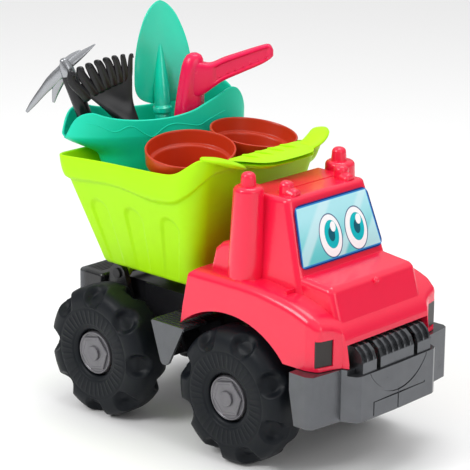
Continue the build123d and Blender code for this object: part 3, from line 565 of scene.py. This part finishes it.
class TIPPER_OT_bed(bpy.types.Operator):
    """Tipping bed: one thin shell with its rim band, ears, side recesses and grip lip"""
    bl_idname = "tipper.bed"
    bl_label = "Bed"

    def outline(self, z, grow):
        """Plan of the bed at height z as (x, y) points, the same number at every height."""
        k = min((z - 143.0) / 93.0, 1.0)
        j = max((z - 236.0) / 56.0, 0.0)
        rear = -104.0 - 23.5 * k - 11.0 * j - grow
        front = 22.0 + 24.5 * k + 13.0 * j + grow
        half = 56.5 + 29.5 * k + 6.0 * j + grow
        rf, rr = max(15 + 6 * k - 7 * j + grow, 1.5), max(7 + 2 * k + grow, 1.5)
        corners = [(front - rf, -half + rf, rf, -90, 24), (front - rf, half - rf, rf, 0, 24),
                   (rear + rr, half - rr, rr, 90, 14), (rear + rr, -half + rr, rr, 180, 14)]
        spans = (60, 96, 48, 96)
        points = []
        for i, (cx, cy, r, start, steps) in enumerate(corners):
            arc = [(cx + r * math.cos(math.radians(start + 90 * n / steps)),
                    cy + r * math.sin(math.radians(start + 90 * n / steps))) for n in range(steps + 1)]
            points += arc
            nx, ny, nr, nstart, _ = corners[(i + 1) % 4]
            end = (nx + nr * math.cos(math.radians(nstart)), ny + nr * math.sin(math.radians(nstart)))
            last = arc[-1]
            points += [between(last, end, n / spans[i]) for n in range(1, spans[i])]
        return points

    def rim_height(self, x, y):
        side = through(RIM_TOP, x)
        dip = 273.0 + 8.6 * ease(abs(y), 52.0, 78.0)
        return min(side, dip) if x > 20 else side

    def band_height(self, x, y):
        low = through(BAND_LOW, x)
        return low + (264.0 - low) * ease(x, 36.0, 52.0) * (1 - ease(abs(y), 60.0, 84.0))

    def recess(self, x, y, z):
        """Depth of the side recesses, 0 away from them."""
        if abs(y) < 50:
            return 0.0
        deepest = 0.0
        for top_x, low_x in ARCHES:
            t = (z - 143.0) / 60.0
            cx = low_x + (top_x - low_x) * t
            if z > 202.5:
                edge = 11.5 - math.hypot(x - top_x, z - 202.5)
            else:
                edge = 9.0 + 2.5 * t - abs(x - cx)
            deepest = max(deepest, ease(edge, -0.7, 1.5) * (0.35 + 0.65 * ease(z, 140, 205)))
        return deepest

    def ring(self, level, grow, dent=0.0):
        """One loop round the bed; level gives each point's height from its rough place."""
        rough = self.outline(250.0, 0.0)
        heights = [level(x, y) for x, y in rough]
        points = []
        for i, z in enumerate(heights):
            x, y = self.outline_point(i, z, grow)
            if dent:
                pull = dent * self.recess(x, y, z)
                y -= math.copysign(pull, y)
            points.append(at(x, y, z))
        return points

    def outline_point(self, i, z, grow):
        key = (round(z, 2), round(grow, 3))
        if key not in self.cache:
            self.cache[key] = self.outline(z, grow)
        return self.cache[key][i]

    def execute(self, context):
        self.cache = {}
        step, dent = sizes().band_step / MM, sizes().recess_depth / MM
        rings = [self.ring(lambda x, y: 143.0, g) for g in (-30, -12, -6)]
        rings += [self.ring(lambda x, y, a=a: 148.0 - 5.0 * math.cos(a), 5.0 * math.sin(a) - 5.0)
                  for a in (0.35, 0.8, 1.2)]
        for i in range(41):
            v = i / 40
            rings.append(self.ring(lambda x, y, v=v: 148.0 + (self.band_height(x, y) - 2.2 - 148.0) * v, 0.0,
                                   dent))
        for up, grow in ((-1.2, 0.25), (-0.3, 0.9), (0.5, 1.9), (1.4, 2.7), (2.6, step)):
            rings.append(self.ring(lambda x, y, up=up: self.band_height(x, y) + up, grow))
        for i in range(1, 13):
            v = i / 12

            def level(x, y, v=v):
                low, top = self.band_height(x, y) + 2.6, self.rim_height(x, y) - 1.6
                return low + (top - low) * v

            rings.append(self.ring(level, step + 0.7 * math.sin(math.pi * v)))
        for down, grow in ((0.8, step - 0.15), (0.2, step - 0.8), (0.0, step - 1.6), (0.2, step - 2.5),
                           (0.8, step - 3.2), (1.8, step - 3.5)):
            rings.append(self.ring(lambda x, y, down=down: self.rim_height(x, y) - down, grow))
        for i in range(1, 25):
            v = i / 24
            inner = -0.5 - 2.0 * ease(v, 0.0, 0.25)
            rings.append(self.ring(
                lambda x, y, v=v: self.rim_height(x, y) - 1.8 + (150.0 - self.rim_height(x, y) + 1.8) * v, inner))
        rings += [self.ring(lambda x, y, a=a: 150.0 - 4.4 * math.sin(a), -2.5 - 4.4 * (1 - math.cos(a)))
                  for a in (0.4, 0.8, 1.2, 1.55)]
        rings += [self.ring(lambda x, y: 145.6, g) for g in (-12, -30)]
        bm = join([loft(rings), self.lip(), self.lugs()] + self.grips())
        piece("bed_shell", bm, finish("bed lime"), "bed", "bed_lime", "dump_bed", sharp=50)
        return {"FINISHED"}

    def lip(self):
        """Grip lip over the cab: a plate with slanted sides and a turned-down edge."""
        half = [(46, 42), (50, 39), (60, 33), (70, 27.6), (73.6, 24.2), (75.3, 19), (76.2, 10), (76.4, 0)]
        plan = half + [(x, -y) for x, y in reversed(half[:-1])]
        outline = [Vector((p[0], p[1])) for p in bezier([Vector((x, y + 5, 0)) for x, y in plan], 6)]

        def ring(inset, z):
            points = []
            last = len(outline) - 1
            for i, p in enumerate(outline):
                t = (outline[min(i + 1, last)] - outline[max(i - 1, 0)]).normalized()
                q = p + Vector((t.y, -t.x)) * -inset
                points.append(at(max(q.x, 46.0), q.y, z))
            return points

        rows = [(14, 273.0), (8, 272.9), (4, 272.4), (1.8, 271.7), (0.6, 270.8), (0.0, 269.4), (0.0, 264.8),
                (0.4, 264.1), (1.1, 263.9), (1.8, 264.3), (2.2, 265.4), (2.6, 268.4), (4.0, 269.4),
                (14, 269.8)]
        return loft([ring(i, z) for i, z in rows])

    def grips(self):
        """Low ribs across the lip, and the broad ear on each front corner of the rim."""
        parts = []
        for s in (-1, 1):
            path = bezier([at(60, s * 38, 266.5), at(64, s * 48, 270.2), at(65, s * 60, 274.6),
                           at(61.5, s * 71, 278.4), at(55, s * 80, 280.2)], 6)
            wide = [MM * (4.5 + 6.8 * math.sin(math.pi * (0.12 + 0.68 * i / 24))) for i in range(25)]
            parts.append(tube(path, wide, 24, 0.3, side=(1.0, s * 0.45, 0.12)))
        for y in (-20.0, -2.5, 15.0, 32.5):
            path = bezier([at(50, y - 3.5, 273.0), at(57, y - 1.5, 273.4), at(63, y + 1.0, 273.0),
                           at(68, y + 2.0, 272.2)], 4)
            parts.append(tube(path, [MM * (0.9 + 1.1 * math.sin(math.pi * i / 12)) for i in range(13)], 12))
        return parts

    def lugs(self):
        """Hinge lugs under the floor."""
        parts = []
        for s in (-1, 1):
            outline = [(-103, 144), (-81, 144), (-91, 127), (-94, 124.6), (-100, 124.6), (-103, 128)]
            low, high = 31.5, 37.5
            parts.append(loft([[at(x, s * y, z) for x, z in outline] for y in (low, high)]))
        return join(parts)


class TIPPER_OT_tub(bpy.types.Operator):
    """Teal garden tub with a flared collar, two raised ends and a wavy line"""
    bl_idname = "tipper.tub"
    bl_label = "Tub"

    RIM = [(-96, 264), (-91.5, 266), (-89.5, 270), (-87, 276), (-84, 282.5), (-80, 288), (-75, 291.6),
           (-68, 293.6), (-62, 293.6), (-50, 290), (-34, 287), (-15, 285.6), (0, 286), (15, 288.5), (28.5, 292.4),
           (40, 298), (53, 303.6), (61, 307.5), (68, 309.8), (73.5, 309.6), (79, 306.5), (85, 299), (90, 288),
           (93, 277), (95, 271)]
    WAVE = [(-78, 285.4), (-63, 281.4), (-47, 275), (-32, 280), (-17, 271), (-10, 268.5), (3, 277.5),
            (13, 279.8), (28, 277.5), (38, 276), (49, 281), (62, 286), (78, 290)]

    def ring(self, level, inset):
        """Oval loop; level gives the height at u, and the walls flare with height."""
        points = []
        for i in range(192):
            a = 2 * math.pi * i / 192
            c, s = math.cos(a), math.sin(a)
            z = level(92 * c)
            flare = ease(z, 247, 270)
            long = 39 + 18.5 * ease(z, 205, 252) + 36 * flare + 1 * ease(z, 268, 315)
            wide = 17 + 7 * ease(z, 205, 252) + 7 * flare + 1 * ease(z, 268, 315)
            shift = 4.4 * (1 - ease(z, 248, 268))
            u, w = (long - inset) * math.copysign(abs(c) ** 0.86, c), (wide - inset) * s
            points.append(load_at(u, z, w + shift))
        return points

    def wave(self, side):
        """Thin raised line along the collar."""
        path = []
        for i in range(81):
            u = -74 + 140 * i / 80
            z = through(self.WAVE, u)
            long = 92.5 + 2 * ease(z, 268, 315)
            wide = 31 + ease(z, 268, 315)
            w = side * wide * math.sqrt(max(1 - (abs(u) / long) ** (2 / 0.86), 0.0))
            path.append(load_at(u, z, w))
        return tube(path, [MM * 0.5] * 81, 10)

    def execute(self, context):
        rings = [self.ring(lambda u: 208.0, i) for i in (14, 6, 2.5, 1.0)]
        rings += [self.ring(lambda u, z=z: z, 0.0) for z in (209, 212, 217, 223, 229, 235, 240, 244, 247, 250,
                                                            253, 256, 259, 262, 264, 266)]
        for i in range(1, 49):
            v = i / 48
            rings.append(self.ring(lambda u, v=v: 266 + (through(self.RIM, u) - 1.0 - 266) * v, 0.0))
        rings += [self.ring(lambda u, d=d: through(self.RIM, u) - d, i)
                  for d, i in ((0.3, 0.35), (0.0, 1.2), (0.3, 2.05), (1.0, 2.4))]
        for i in range(1, 33):
            v = i / 32
            rings.append(self.ring(lambda u, v=v: through(self.RIM, u) - 1.0
                                   + (212.0 - through(self.RIM, u) + 1.0) * v, 2.4))
        rings += [self.ring(lambda u: 210.5, i) for i in (3.5, 6, 14)]
        bm = join([loft(rings), self.wave(1), self.wave(-1)])
        piece("tub_shell", bm, finish("tub teal"), "tub", "tub_teal", "garden_tub", sharp=50)
        return {"FINISHED"}


class TIPPER_OT_pots(bpy.types.Operator):
    """Two flower pots with a banded rim and an inner step"""
    bl_idname = "tipper.pots"
    bl_label = "Pots"

    def execute(self, context):
        r = sizes().pot_rim / MM
        profile = [(6.0, -78), (27.0, -78), (27.9, -77.4), (28.2, -76.4), (37.4, -17.2), (37.9, -16.0),
                   (39.0, -15.4), (r - 1.9, -15.2), (r - 1.2, -14.8), (r - 0.9, -14.0), (r - 0.2, -1.4),
                   (r, -0.6), (r - 0.3, -0.1), (r - 0.9, 0.0), (r - 1.7, -0.1), (r - 2.0, -0.6),
                   (r - 2.3, -1.6), (r - 3.0, -12.4), (r - 3.3, -13.2), (r - 4.2, -13.7), (36.9, -14.0),
                   (36.2, -14.6), (35.8, -16.0), (26.6, -74.4), (26.0, -75.5), (24.8, -75.8), (6.0, -75.8)]
        for side in ("right", "left"):
            joint = next(j for j in frame["joints"] if j["name"] == f"{side}_pot_lift")
            up = Vector(joint["axis"]).normalized()
            rim = at(4.0, -45.5, 275.5) if side == "right" else at(2.5, 44.5, 275.5)
            east = Vector((up.z, 0, -up.x)).normalized()
            north = up.cross(east)

            def place(x, y, h, rim=rim, east=east, north=north, up=up):
                return rim + (east * x + north * y + up * h) * MM

            piece(f"pot_{side}_shell", lathe(profile, place, 112), finish("pot terracotta"), f"{side}_pot",
                  "pot_terracotta", f"pot_{side}", sharp=50)
        return {"FINISHED"}


class TIPPER_OT_trowel(bpy.types.Operator):
    """Hand trowel standing blade up in the tub"""
    bl_idname = "tipper.trowel"
    bl_label = "Trowel"

    HALF = [(289.8, 5.5), (291.5, 11.5), (294, 17.5), (298, 23), (304, 27.2), (311, 29.0), (318, 29.4),
            (336.5, 28.6), (356, 24.8), (373.5, 18.6), (383, 13.4), (389, 8.0), (392, 3.6), (393, 0.6)]

    def execute(self, context):
        middle, rings = 11.0, []
        for i in range(64):
            z = 289.8 + 103.2 * (1 - math.cos(math.pi * i / 63)) / 2
            half = max(through(self.HALF, z), 0.5)
            ring = []
            for k in range(56):
                front = k < 28
                s = math.cos(math.pi * (k if front else k - 28) / 28)
                s = s if front else -s
                u = half * s
                thick = 1.1 * math.sqrt(max(1 - abs(s) ** 10, 0.0)) + 0.05
                bend = 46.0 - math.sqrt(46.0**2 - u**2)
                ring.append(load_at(middle + u, z, -14.0 + bend + (thick if front else -thick)))
            rings.append(ring)
        blade = loft(rings)
        heights = [283 + 69 * i / 24 for i in range(25)]
        spine = [load_at(12.2 - 1.2 * (z - 283) / 69, z, -8.8 - 6.4 * (z - 283) / 69) for z in heights]
        neck = tube(spine, [MM * (8.5 - 7.0 * ease(z, 292, 366)) for z in heights], 40,
                    side=(*TUB_DIR, 0))
        collar = tube([load_at(12.2, 282.6, -8.4), load_at(12.2, 283.2, -8.5), load_at(12.1, 287.4, -8.7),
                       load_at(12.1, 288.2, -8.7)], [MM * r for r in (9.0, 9.8, 9.8, 9.0)], 40)
        grip = tube([load_at(11.5, 216, -1.2), load_at(12.2, 283, -8.5)], [0.0074, 0.0076], 40)
        piece("trowel_shape", join([blade, neck, collar, grip]), finish("trowel teal"), "trowel_body",
              "tub_teal", "trowel", sharp=50)
        return {"FINISHED"}


class TIPPER_OT_rake(bpy.types.Operator):
    """Fan rake with eight hooked tines"""
    bl_idname = "tipper.rake"
    bl_label = "Fan rake"

    TINE_COUNT = 8
    NECK_LEFT, NECK_RIGHT = (-37.0, 272.0), (-17.0, 270.0)
    PALM_DEPTH = 12.6

    def left_edge(self, t):
        """Outer edge of the palm at t, 0 at the neck and 1 at the tines, with the palm's half thickness."""
        u, z = self.NECK_LEFT
        return u - 42.0 * t**1.1, z + 43.5 * t**0.82, 1.7 + 7.3 * (1 - ease(t, 0.0, 1.0))

    def right_edge(self, t):
        u, z = self.NECK_RIGHT
        return u - 8.2 * ease(t, 0.05, 0.75), z + 46.0 * t + 15.0 * t**4

    def tine(self, number):
        """Root, bend, tip and half width of a tine; the fan spreads and drops towards the first."""
        t = number / (self.TINE_COUNT - 1)
        spread = 1 - t
        root = (-27.2 - 47.8 * spread**1.2, 328.0 - 15.0 * spread**1.8)
        bend = (-85.0 + 58.0 * t + 3.3 * math.sin(math.pi * t), 341.0 - 17.5 * spread**2.4)
        tip = (-86.0 + 59.5 * t, 346.5 - 14.0 * spread**2)
        return root, bend, tip, 4.6 - 2.2 * t**1.8

    def execute(self, context):
        rings, count = [], 60
        for i in range(33):
            t = i / 32
            edge, far = self.left_edge(t), self.right_edge(t)
            ring = []
            for k in range(count):
                a = 2 * math.pi * k / count
                s = 0.5 + 0.5 * math.cos(a)
                u, z = edge[0] * (1 - s) + far[0] * s, edge[1] * (1 - s) + far[1] * s
                hollow = 3.6 * math.sin(math.pi * s) * ease(t, 0.15, 0.75)
                ring.append(load_at(u, z, self.PALM_DEPTH - hollow + edge[2] * math.sin(a) * 0.9))
            rings.append(ring)
        parts = [loft(rings)]
        for number in range(self.TINE_COUNT):
            root, bend, (u, z), wide = self.tine(number)
            base = load_at(root[0] * 0.86 - 4.5, root[1] - 7, 10.6)
            path = bezier([base, load_at(*root, 11.4), load_at(*bend, 12.6), load_at(u, z, 13.4),
                           load_at(u + 0.4, z + 1.0, 15.4), load_at(u + 0.8, z - 1.6, 17.4)], 6)
            radii = [MM * (wide * (1.12 - 0.2 * ease(k, 6, 16)) - 0.55 * wide * ease(k, 14, 30))
                     for k in range(len(path))]
            parts.append(tube(path, radii, 16, 0.5, side=(*TUB_DIR, 0)))
        parts.append(tube([load_at(-17, 224, 5.0), load_at(-28.5, 278, 11.0)], [0.0074, 0.0078], 40))
        piece("rake_shape", join(parts), finish("tool black"), "rake", "tool_black", "fan_rake", sharp=50)
        return {"FINISHED"}


class TIPPER_OT_hoe(bpy.types.Operator):
    """Small hoe: tube handle, prongs on one side of the head and a blade on the other"""
    bl_idname = "tipper.hoe"
    bl_label = "Hoe"

    # Ends of the blade in the load's frame; roots and tips of the two prongs across the head
    BLADE_TIP, BLADE_ROOT = (-57.0, 355.0), (-85.0, 336.5)
    LONG_ROOT, LONG_TIP, LONG_BOW = (-4.5, 330.5), (-42.0, 287.0), 1.8
    SHORT_ROOT, SHORT_TIP, SHORT_BOW = (-5.0, 326.0), (-14.6, 298.4), 1.2

    def head_at(self, v, z, depth=0.0):
        base = load_at(-86, z, -6)
        return base + Vector((HOE_DIR.x * v + HOE_DIR.y * depth, HOE_DIR.y * v - HOE_DIR.x * depth, 0)) * MM

    def execute(self, context):
        handle = tube([load_at(-60.6, 263.5, -6), load_at(-83.2, 326.2, -6)], [0.0074, 0.0076], 40)
        piece("hoe_grip", handle, finish("tool black"), "hoe", "tool_black", "hoe_handle", sharp=50)
        socket = tube([load_at(-83.7, 327.6, -6), load_at(-86.2, 334.5, -6), load_at(-89.0, 341.5, -6)],
                      [0.0074, 0.0066, 0.0036], 32)
        blade = [load_at(*between(self.BLADE_TIP, self.BLADE_ROOT, k / 3), -6) for k in range(4)]
        long_prong = []
        for k in range(7):
            v, z = between(self.LONG_ROOT, self.LONG_TIP, k / 6)
            long_prong.append(self.head_at(v, z + self.LONG_BOW * math.sin(math.pi * k / 6)))
        short_prong = []
        for k in range(5):
            v, z = between(self.SHORT_ROOT, self.SHORT_TIP, k / 4)
            short_prong.append(self.head_at(v - self.SHORT_BOW * math.sin(math.pi * k / 4), z, -1 - k / 4))
        brace = [self.head_at(-6, 329, -1.5), load_at(-87.6, 337.6, -7), load_at(-79.6, 344.4, -7.5),
                 load_at(-71.6, 349.2, -7.5)]
        across, down = (0.70, 0.42, -0.57), (0.75, 0.59, -0.29)
        arms = []
        for path, radii, flat, side in (
                (blade + long_prong, (0.6, 2.6, 4.2, 5.2, 5.6, 5.9, 5.6, 4.5, 3.8, 3.0, 1.5), 0.42, across),
                (short_prong, (5.0, 5.2, 4.3, 2.9, 1.5), 0.42, down),
                (brace, (4.4, 3.6, 2.8, 1.2), 0.6, across)):
            smooth_path = bezier(path, 6)
            spread = [through(list(enumerate(radii)), k / 6) for k in range(len(smooth_path))]
            arms.append(tube(smooth_path, [MM * r for r in spread], 28, flat, side=side))
        head = join([socket] + arms)
        piece("hoe_prongs", head, finish("tool grey"), "hoe", "tool_grey", "hoe_head", sharp=50)
        return {"FINISHED"}


class TIPPER_OT_spout(bpy.types.Operator):
    """Red spout: fluted stem and a flat tapering arm with an inset panel"""
    bl_idname = "tipper.spout"
    bl_label = "Spout"

    def arm_at(self, v, z, depth=0.0):
        base = load_at(35.5, z, 16)
        return base + Vector((ARM_DIR.x * v + ARM_DIR.y * depth, ARM_DIR.y * v - ARM_DIR.x * depth, 0)) * MM

    def execute(self, context):
        rows = [(226, 27, 3.5, 7.4, 6.4), (228, 27.2, 3.9, 8.0, 7.0), (256, 29.5, 9.2, 11.2, 8.0),
                (286, 32, 15, 14.5, 9.0), (305, 33.2, 15.4, 13.3, 9.0), (322, 34.4, 15.8, 11.8, 8.8),
                (333, 35.2, 16, 10.8, 8.6), (339, 36.0, 16, 9.6, 8.0), (343, 36.4, 16, 7.2, 6.4),
                (345, 36.6, 16, 3.6, 3.4)]
        rings = []
        for z, u, w, long, wide in rows:
            ring = []
            for k in range(72):
                a = 2 * math.pi * k / 72
                flute = 1 + 0.06 * math.cos(6 * a) * (1 - ease(z, 325, 343))
                ring.append(load_at(u + long * flute * math.cos(a), z, w + wide * flute * math.sin(a)))
            rings.append(ring)
        stem = loft(rings)
        low = [(0, 300), (10, 304.5), (28, 317.5), (46, 326.0), (68, 336.0), (78, 342.6)]
        high = [(0, 338), (8, 336.5), (17, 335.5), (30, 341.0), (46, 346.6), (71, 354.6), (75.5, 353.6),
                (78, 350.0)]
        rings = []
        steps = 60
        for i in range(steps + 1):
            v = 78.0 * i / steps
            bottom, top = through(low, v), through(high, v)
            half = 8.2 - 3.9 * v / 78
            tip = 1 - 0.5 * ease(v, 75.5, 78.0)
            mid, tall = (bottom + top) / 2, (top - bottom) / 2 * (1 - 0.25 * ease(v, 76, 78))
            ring = []
            for k in range(80):
                a = 2 * math.pi * (k + 0.5) / 80
                c, s = math.cos(a), math.sin(a)
                n = 0.34
                d, h = math.copysign(abs(c) ** n, c) * half * tip, math.copysign(abs(s) ** n, s) * tall
                rel = h / tall
                panel = ease(v, 20, 22) * (1 - ease(v, 72, 74)) * ease(0.66 - abs(rel), -0.04, 0.06)
                if d > 0:
                    d -= 1.5 * panel
                ring.append(self.arm_at(v, mid + h, d))
            rings.append(ring)
        arm = loft(rings)
        dots = []
        for i in range(7):
            v = 26 + 7.4 * i
            half = 8.2 - 3.9 * v / 78
            z = through(low, v) + 0.3 * (through(high, v) - through(low, v))
            centre = self.arm_at(v, z, half - 1.5)
            dot = bmesh.new()
            bmesh.ops.create_uvsphere(dot, u_segments=12, v_segments=8, radius=0.0011,
                                      matrix=Matrix.Translation(centre))
            dots.append(dot)
        piece("spout_shape", join([stem, arm] + dots), finish("spout red"), "spout", "spout_red",
              "watering_spout", sharp=50)
        return {"FINISHED"}


class TIPPER_OT_sticker(bpy.types.Operator):
    """Windscreen sticker: pale blue pane, dark border, glare bands and two simple round eyes"""
    bl_idname = "tipper.sticker"
    bl_label = "Windscreen sticker"

    def material(self):
        material = bpy.data.materials.new("windscreen sticker")
        material.use_nodes = True
        tree = material.node_tree
        shader = tree.nodes["Principled BSDF"]
        flat = tree.nodes.new("ShaderNodeUVMap")
        flat.uv_map = "pane"
        split = tree.nodes.new("ShaderNodeSeparateXYZ")
        tree.links.new(flat.outputs[0], split.inputs[0])
        x, y = split.outputs[0], split.outputs[1]
        oval = bpy.data.node_groups.get("Oval") or oval_group()

        def spot(cx, cy, rx, ry):
            node = tree.nodes.new("ShaderNodeGroup")
            node.node_tree = oval
            tree.links.new(flat.outputs[0], node.inputs["Vector"])
            for label, value in (("X", cx), ("Y", cy), ("Half Width", rx), ("Half Height", ry)):
                node.inputs[label].default_value = value
            return node.outputs["Mask"]

        sky = mix(tree, smooth(tree, y, 5.0, 50.0), (0.13, 0.62, 0.64, 1), (0.42, 0.80, 0.86, 1))
        slant = maths(tree, "ADD", x, maths(tree, "MULTIPLY", y, -0.9))
        for low, high in ((-70.0, -48.0), (-14.0, 4.0), (22.0, 62.0)):
            inside = maths(tree, "MULTIPLY", smooth(tree, slant, low, low + 6), maths(
                tree, "SUBTRACT", 1.0, smooth(tree, slant, high - 6, high)))
            sky = mix(tree, maths(tree, "MULTIPLY", inside, 0.6), sky, (0.66, 0.88, 0.92, 1))
        for s in (-1, 1):
            cx = 7.5 + s * 18.0
            sky = mix(tree, spot(cx, 23.0, 15.6, 20.6), sky, (0.012, 0.03, 0.16, 1))
            sky = mix(tree, spot(cx, 23.0, 14.6, 19.6), sky, (0.95, 0.96, 0.97, 1))
            sky = mix(tree, spot(cx + 1.5, 24.0, 9.6, 13.2), sky, (0.0, 0.47, 0.52, 1))
            sky = mix(tree, spot(cx + 1.5, 24.0, 4.4, 6.6), sky, (0.0, 0.10, 0.15, 1))
            sky = mix(tree, spot(cx + 5.0, 30.5, 3.6, 4.8), sky, (0.97, 0.98, 0.98, 1))
        side = maths(tree, "SUBTRACT", maths(tree, "SUBTRACT", 58.0, maths(tree, "MULTIPLY", y, 0.121)),
                     maths(tree, "ABSOLUTE", x))
        edge = maths(tree, "MINIMUM", side, maths(tree, "MINIMUM", y, maths(tree, "SUBTRACT", 57.7, y)))
        sky = mix(tree, maths(tree, "SUBTRACT", 1.0, smooth(tree, edge, 2.6, 3.0)), sky,
                  (0.02, 0.22, 0.62, 1))
        sky = mix(tree, maths(tree, "SUBTRACT", 1.0, smooth(tree, edge, 1.3, 1.7)), sky,
                  (0.01, 0.02, 0.16, 1))
        tree.links.new(sky, shader.inputs["Base Color"])
        shader.inputs["Roughness"].default_value = 0.22
        return material

    def execute(self, context):
        low, high = Vector((153.7, 0, 190.5)), Vector((136.4, 0, 245.6))
        rise = (high - low).length
        up = (high - low).normalized()
        out = Vector((up.z, 0, -up.x))
        start = low + out * 1.12
        bm = bmesh.new()
        flat = [(-58, 0), (58, 0), (51, rise), (-51, rise)]
        corners = [bm.verts.new(at(*(start + up * v + Vector((0, y, 0))))) for y, v in flat]
        face = bm.faces.new(corners)
        bmesh.ops.bevel(bm, geom=corners, offset=0.0075, offset_type="OFFSET", segments=8, affect="VERTICES",
                        profile=0.5, material=-1)
        face = bm.faces[:][0]
        grown = bmesh.ops.extrude_face_region(bm, geom=[face])["geom"]
        bmesh.ops.translate(bm, verts=[g for g in grown if isinstance(g, bmesh.types.BMVert)],
                            vec=out * 0.45 * MM)
        layer = bm.loops.layers.uv.new("pane")
        base = at(*start)
        for f in bm.faces:
            for loop in f.loops:
                rel = loop.vert.co - base
                loop[layer].uv = (rel.y / MM, rel.dot(up) / MM)
        piece("windscreen_pane", bm, self.material(), "truck", "sticker", "windscreen_sticker", sharp=30)
        return {"FINISHED"}


class TIPPER_OT_stage(bpy.types.Operator):
    """Pale floor, soft lights and the main camera"""
    bl_idname = "tipper.stage"
    bl_label = "Stage"

    def light(self, name, place, target, size, watts):
        data = bpy.data.lights.new(name, "AREA")
        data.shape, data.size, data.energy = "DISK", size, watts
        lamp = bpy.data.objects.new(name, data)
        bpy.context.scene.collection.objects.link(lamp)
        lamp.location = place
        lamp.rotation_euler = (Vector(target) - Vector(place)).to_track_quat("-Z", "Y").to_euler()

    def execute(self, context):
        bm = bmesh.new()
        bmesh.ops.create_grid(bm, x_segments=2, y_segments=2, size=12.0)
        mesh = bpy.data.meshes.new("floor")
        bm.to_mesh(mesh)
        bm.free()
        pale = bpy.data.materials.new("floor")
        pale.use_nodes = True
        pale.node_tree.nodes["Principled BSDF"].inputs["Base Color"].default_value = (0.93, 0.93, 0.93, 1)
        pale.node_tree.nodes["Principled BSDF"].inputs["Roughness"].default_value = 0.7
        mesh.materials.append(pale)
        floor = bpy.data.objects.new("floor", mesh)
        context.scene.collection.objects.link(floor)

        world = bpy.data.worlds.new("studio")
        world.use_nodes = True
        sky = world.node_tree
        split = sky.nodes.new("ShaderNodeSeparateXYZ")
        sky.links.new(sky.nodes.new("ShaderNodeTexCoord").outputs["Generated"], split.inputs[0])
        rise = smooth(sky, split.outputs[2], 0.05, 0.75)
        power = maths(sky, "ADD", 0.2, maths(sky, "MULTIPLY", rise, 0.72))
        sky.nodes["Background"].inputs["Color"].default_value = (1, 1, 1, 1)
        sky.links.new(power, sky.nodes["Background"].inputs["Strength"])
        context.scene.world = world
        self.light("key", (-0.5, -1.7, 1.5), (0, 0, 0.15), 1.0, 22)
        self.light("fill", (2.0, -0.3, 0.9), (0, 0, 0.15), 1.2, 7)
        self.light("top", (0.1, 0.3, 2.0), (0, 0, 0.15), 1.2, 14)

        turn, tilt, lean = (math.radians(a) for a in (42.943, 16.786, 0.378))
        back = Vector((math.sin(turn) * math.cos(tilt), -math.cos(turn) * math.cos(tilt), math.sin(tilt)))
        right = Vector((math.cos(turn), math.sin(turn), 0))
        up = back.cross(right)
        level = right * math.cos(lean) + up * math.sin(lean)
        rise = up * math.cos(lean) - right * math.sin(lean)
        data = bpy.data.cameras.new("camera")
        data.sensor_width, data.lens = 36.0, 163.18
        data.shift_x, data.shift_y = 0.0231, 0.0042
        data.clip_end = 60.0
        camera = bpy.data.objects.new("camera", data)
        context.scene.collection.objects.link(camera)
        camera.matrix_world = Matrix((level, rise, back)).transposed().to_4x4()
        camera.location = at(5.467, 0, 179.176) + back * 2.05285
        context.scene.camera = camera
        context.scene.view_settings.view_transform = "Standard"
        return {"FINISHED"}


STEPS = (TIPPER_OT_finishes, TIPPER_OT_wheels, TIPPER_OT_hub_caps, TIPPER_OT_bed, TIPPER_OT_tub, TIPPER_OT_pots,
         TIPPER_OT_trowel, TIPPER_OT_rake, TIPPER_OT_hoe, TIPPER_OT_spout, TIPPER_OT_sticker, TIPPER_OT_stage)


class TIPPER_PT_panel(bpy.types.Panel):
    bl_idname = "TIPPER_PT_panel"
    bl_label = "Garden tipper truck"
    bl_space_type = "VIEW_3D"
    bl_region_type = "UI"
    bl_category = "Tipper"

    def draw(self, context):
        for group in (context.scene.tipper_sizes, context.scene.tipper_colours):
            box = self.layout.box()
            for name in group.__annotations__:
                box.prop(group, name)
        for step in STEPS:
            self.layout.operator(step.bl_idname)


CLASSES = (TIPPER_PG_sizes, TIPPER_PG_colours, *STEPS, TIPPER_PT_panel)


def register():
    for cls in CLASSES:
        bpy.utils.register_class(cls)
    bpy.types.Scene.tipper_sizes = bpy.props.PointerProperty(type=TIPPER_PG_sizes)
    bpy.types.Scene.tipper_colours = bpy.props.PointerProperty(type=TIPPER_PG_colours)


def unregister():
    del bpy.types.Scene.tipper_colours
    del bpy.types.Scene.tipper_sizes
    for cls in reversed(CLASSES):
        bpy.utils.unregister_class(cls)


def main():
    register()
    for step in STEPS:
        group, name = step.bl_idname.split(".")
        getattr(getattr(bpy.ops, group), name)()


if __name__ == "__main__":
    main()
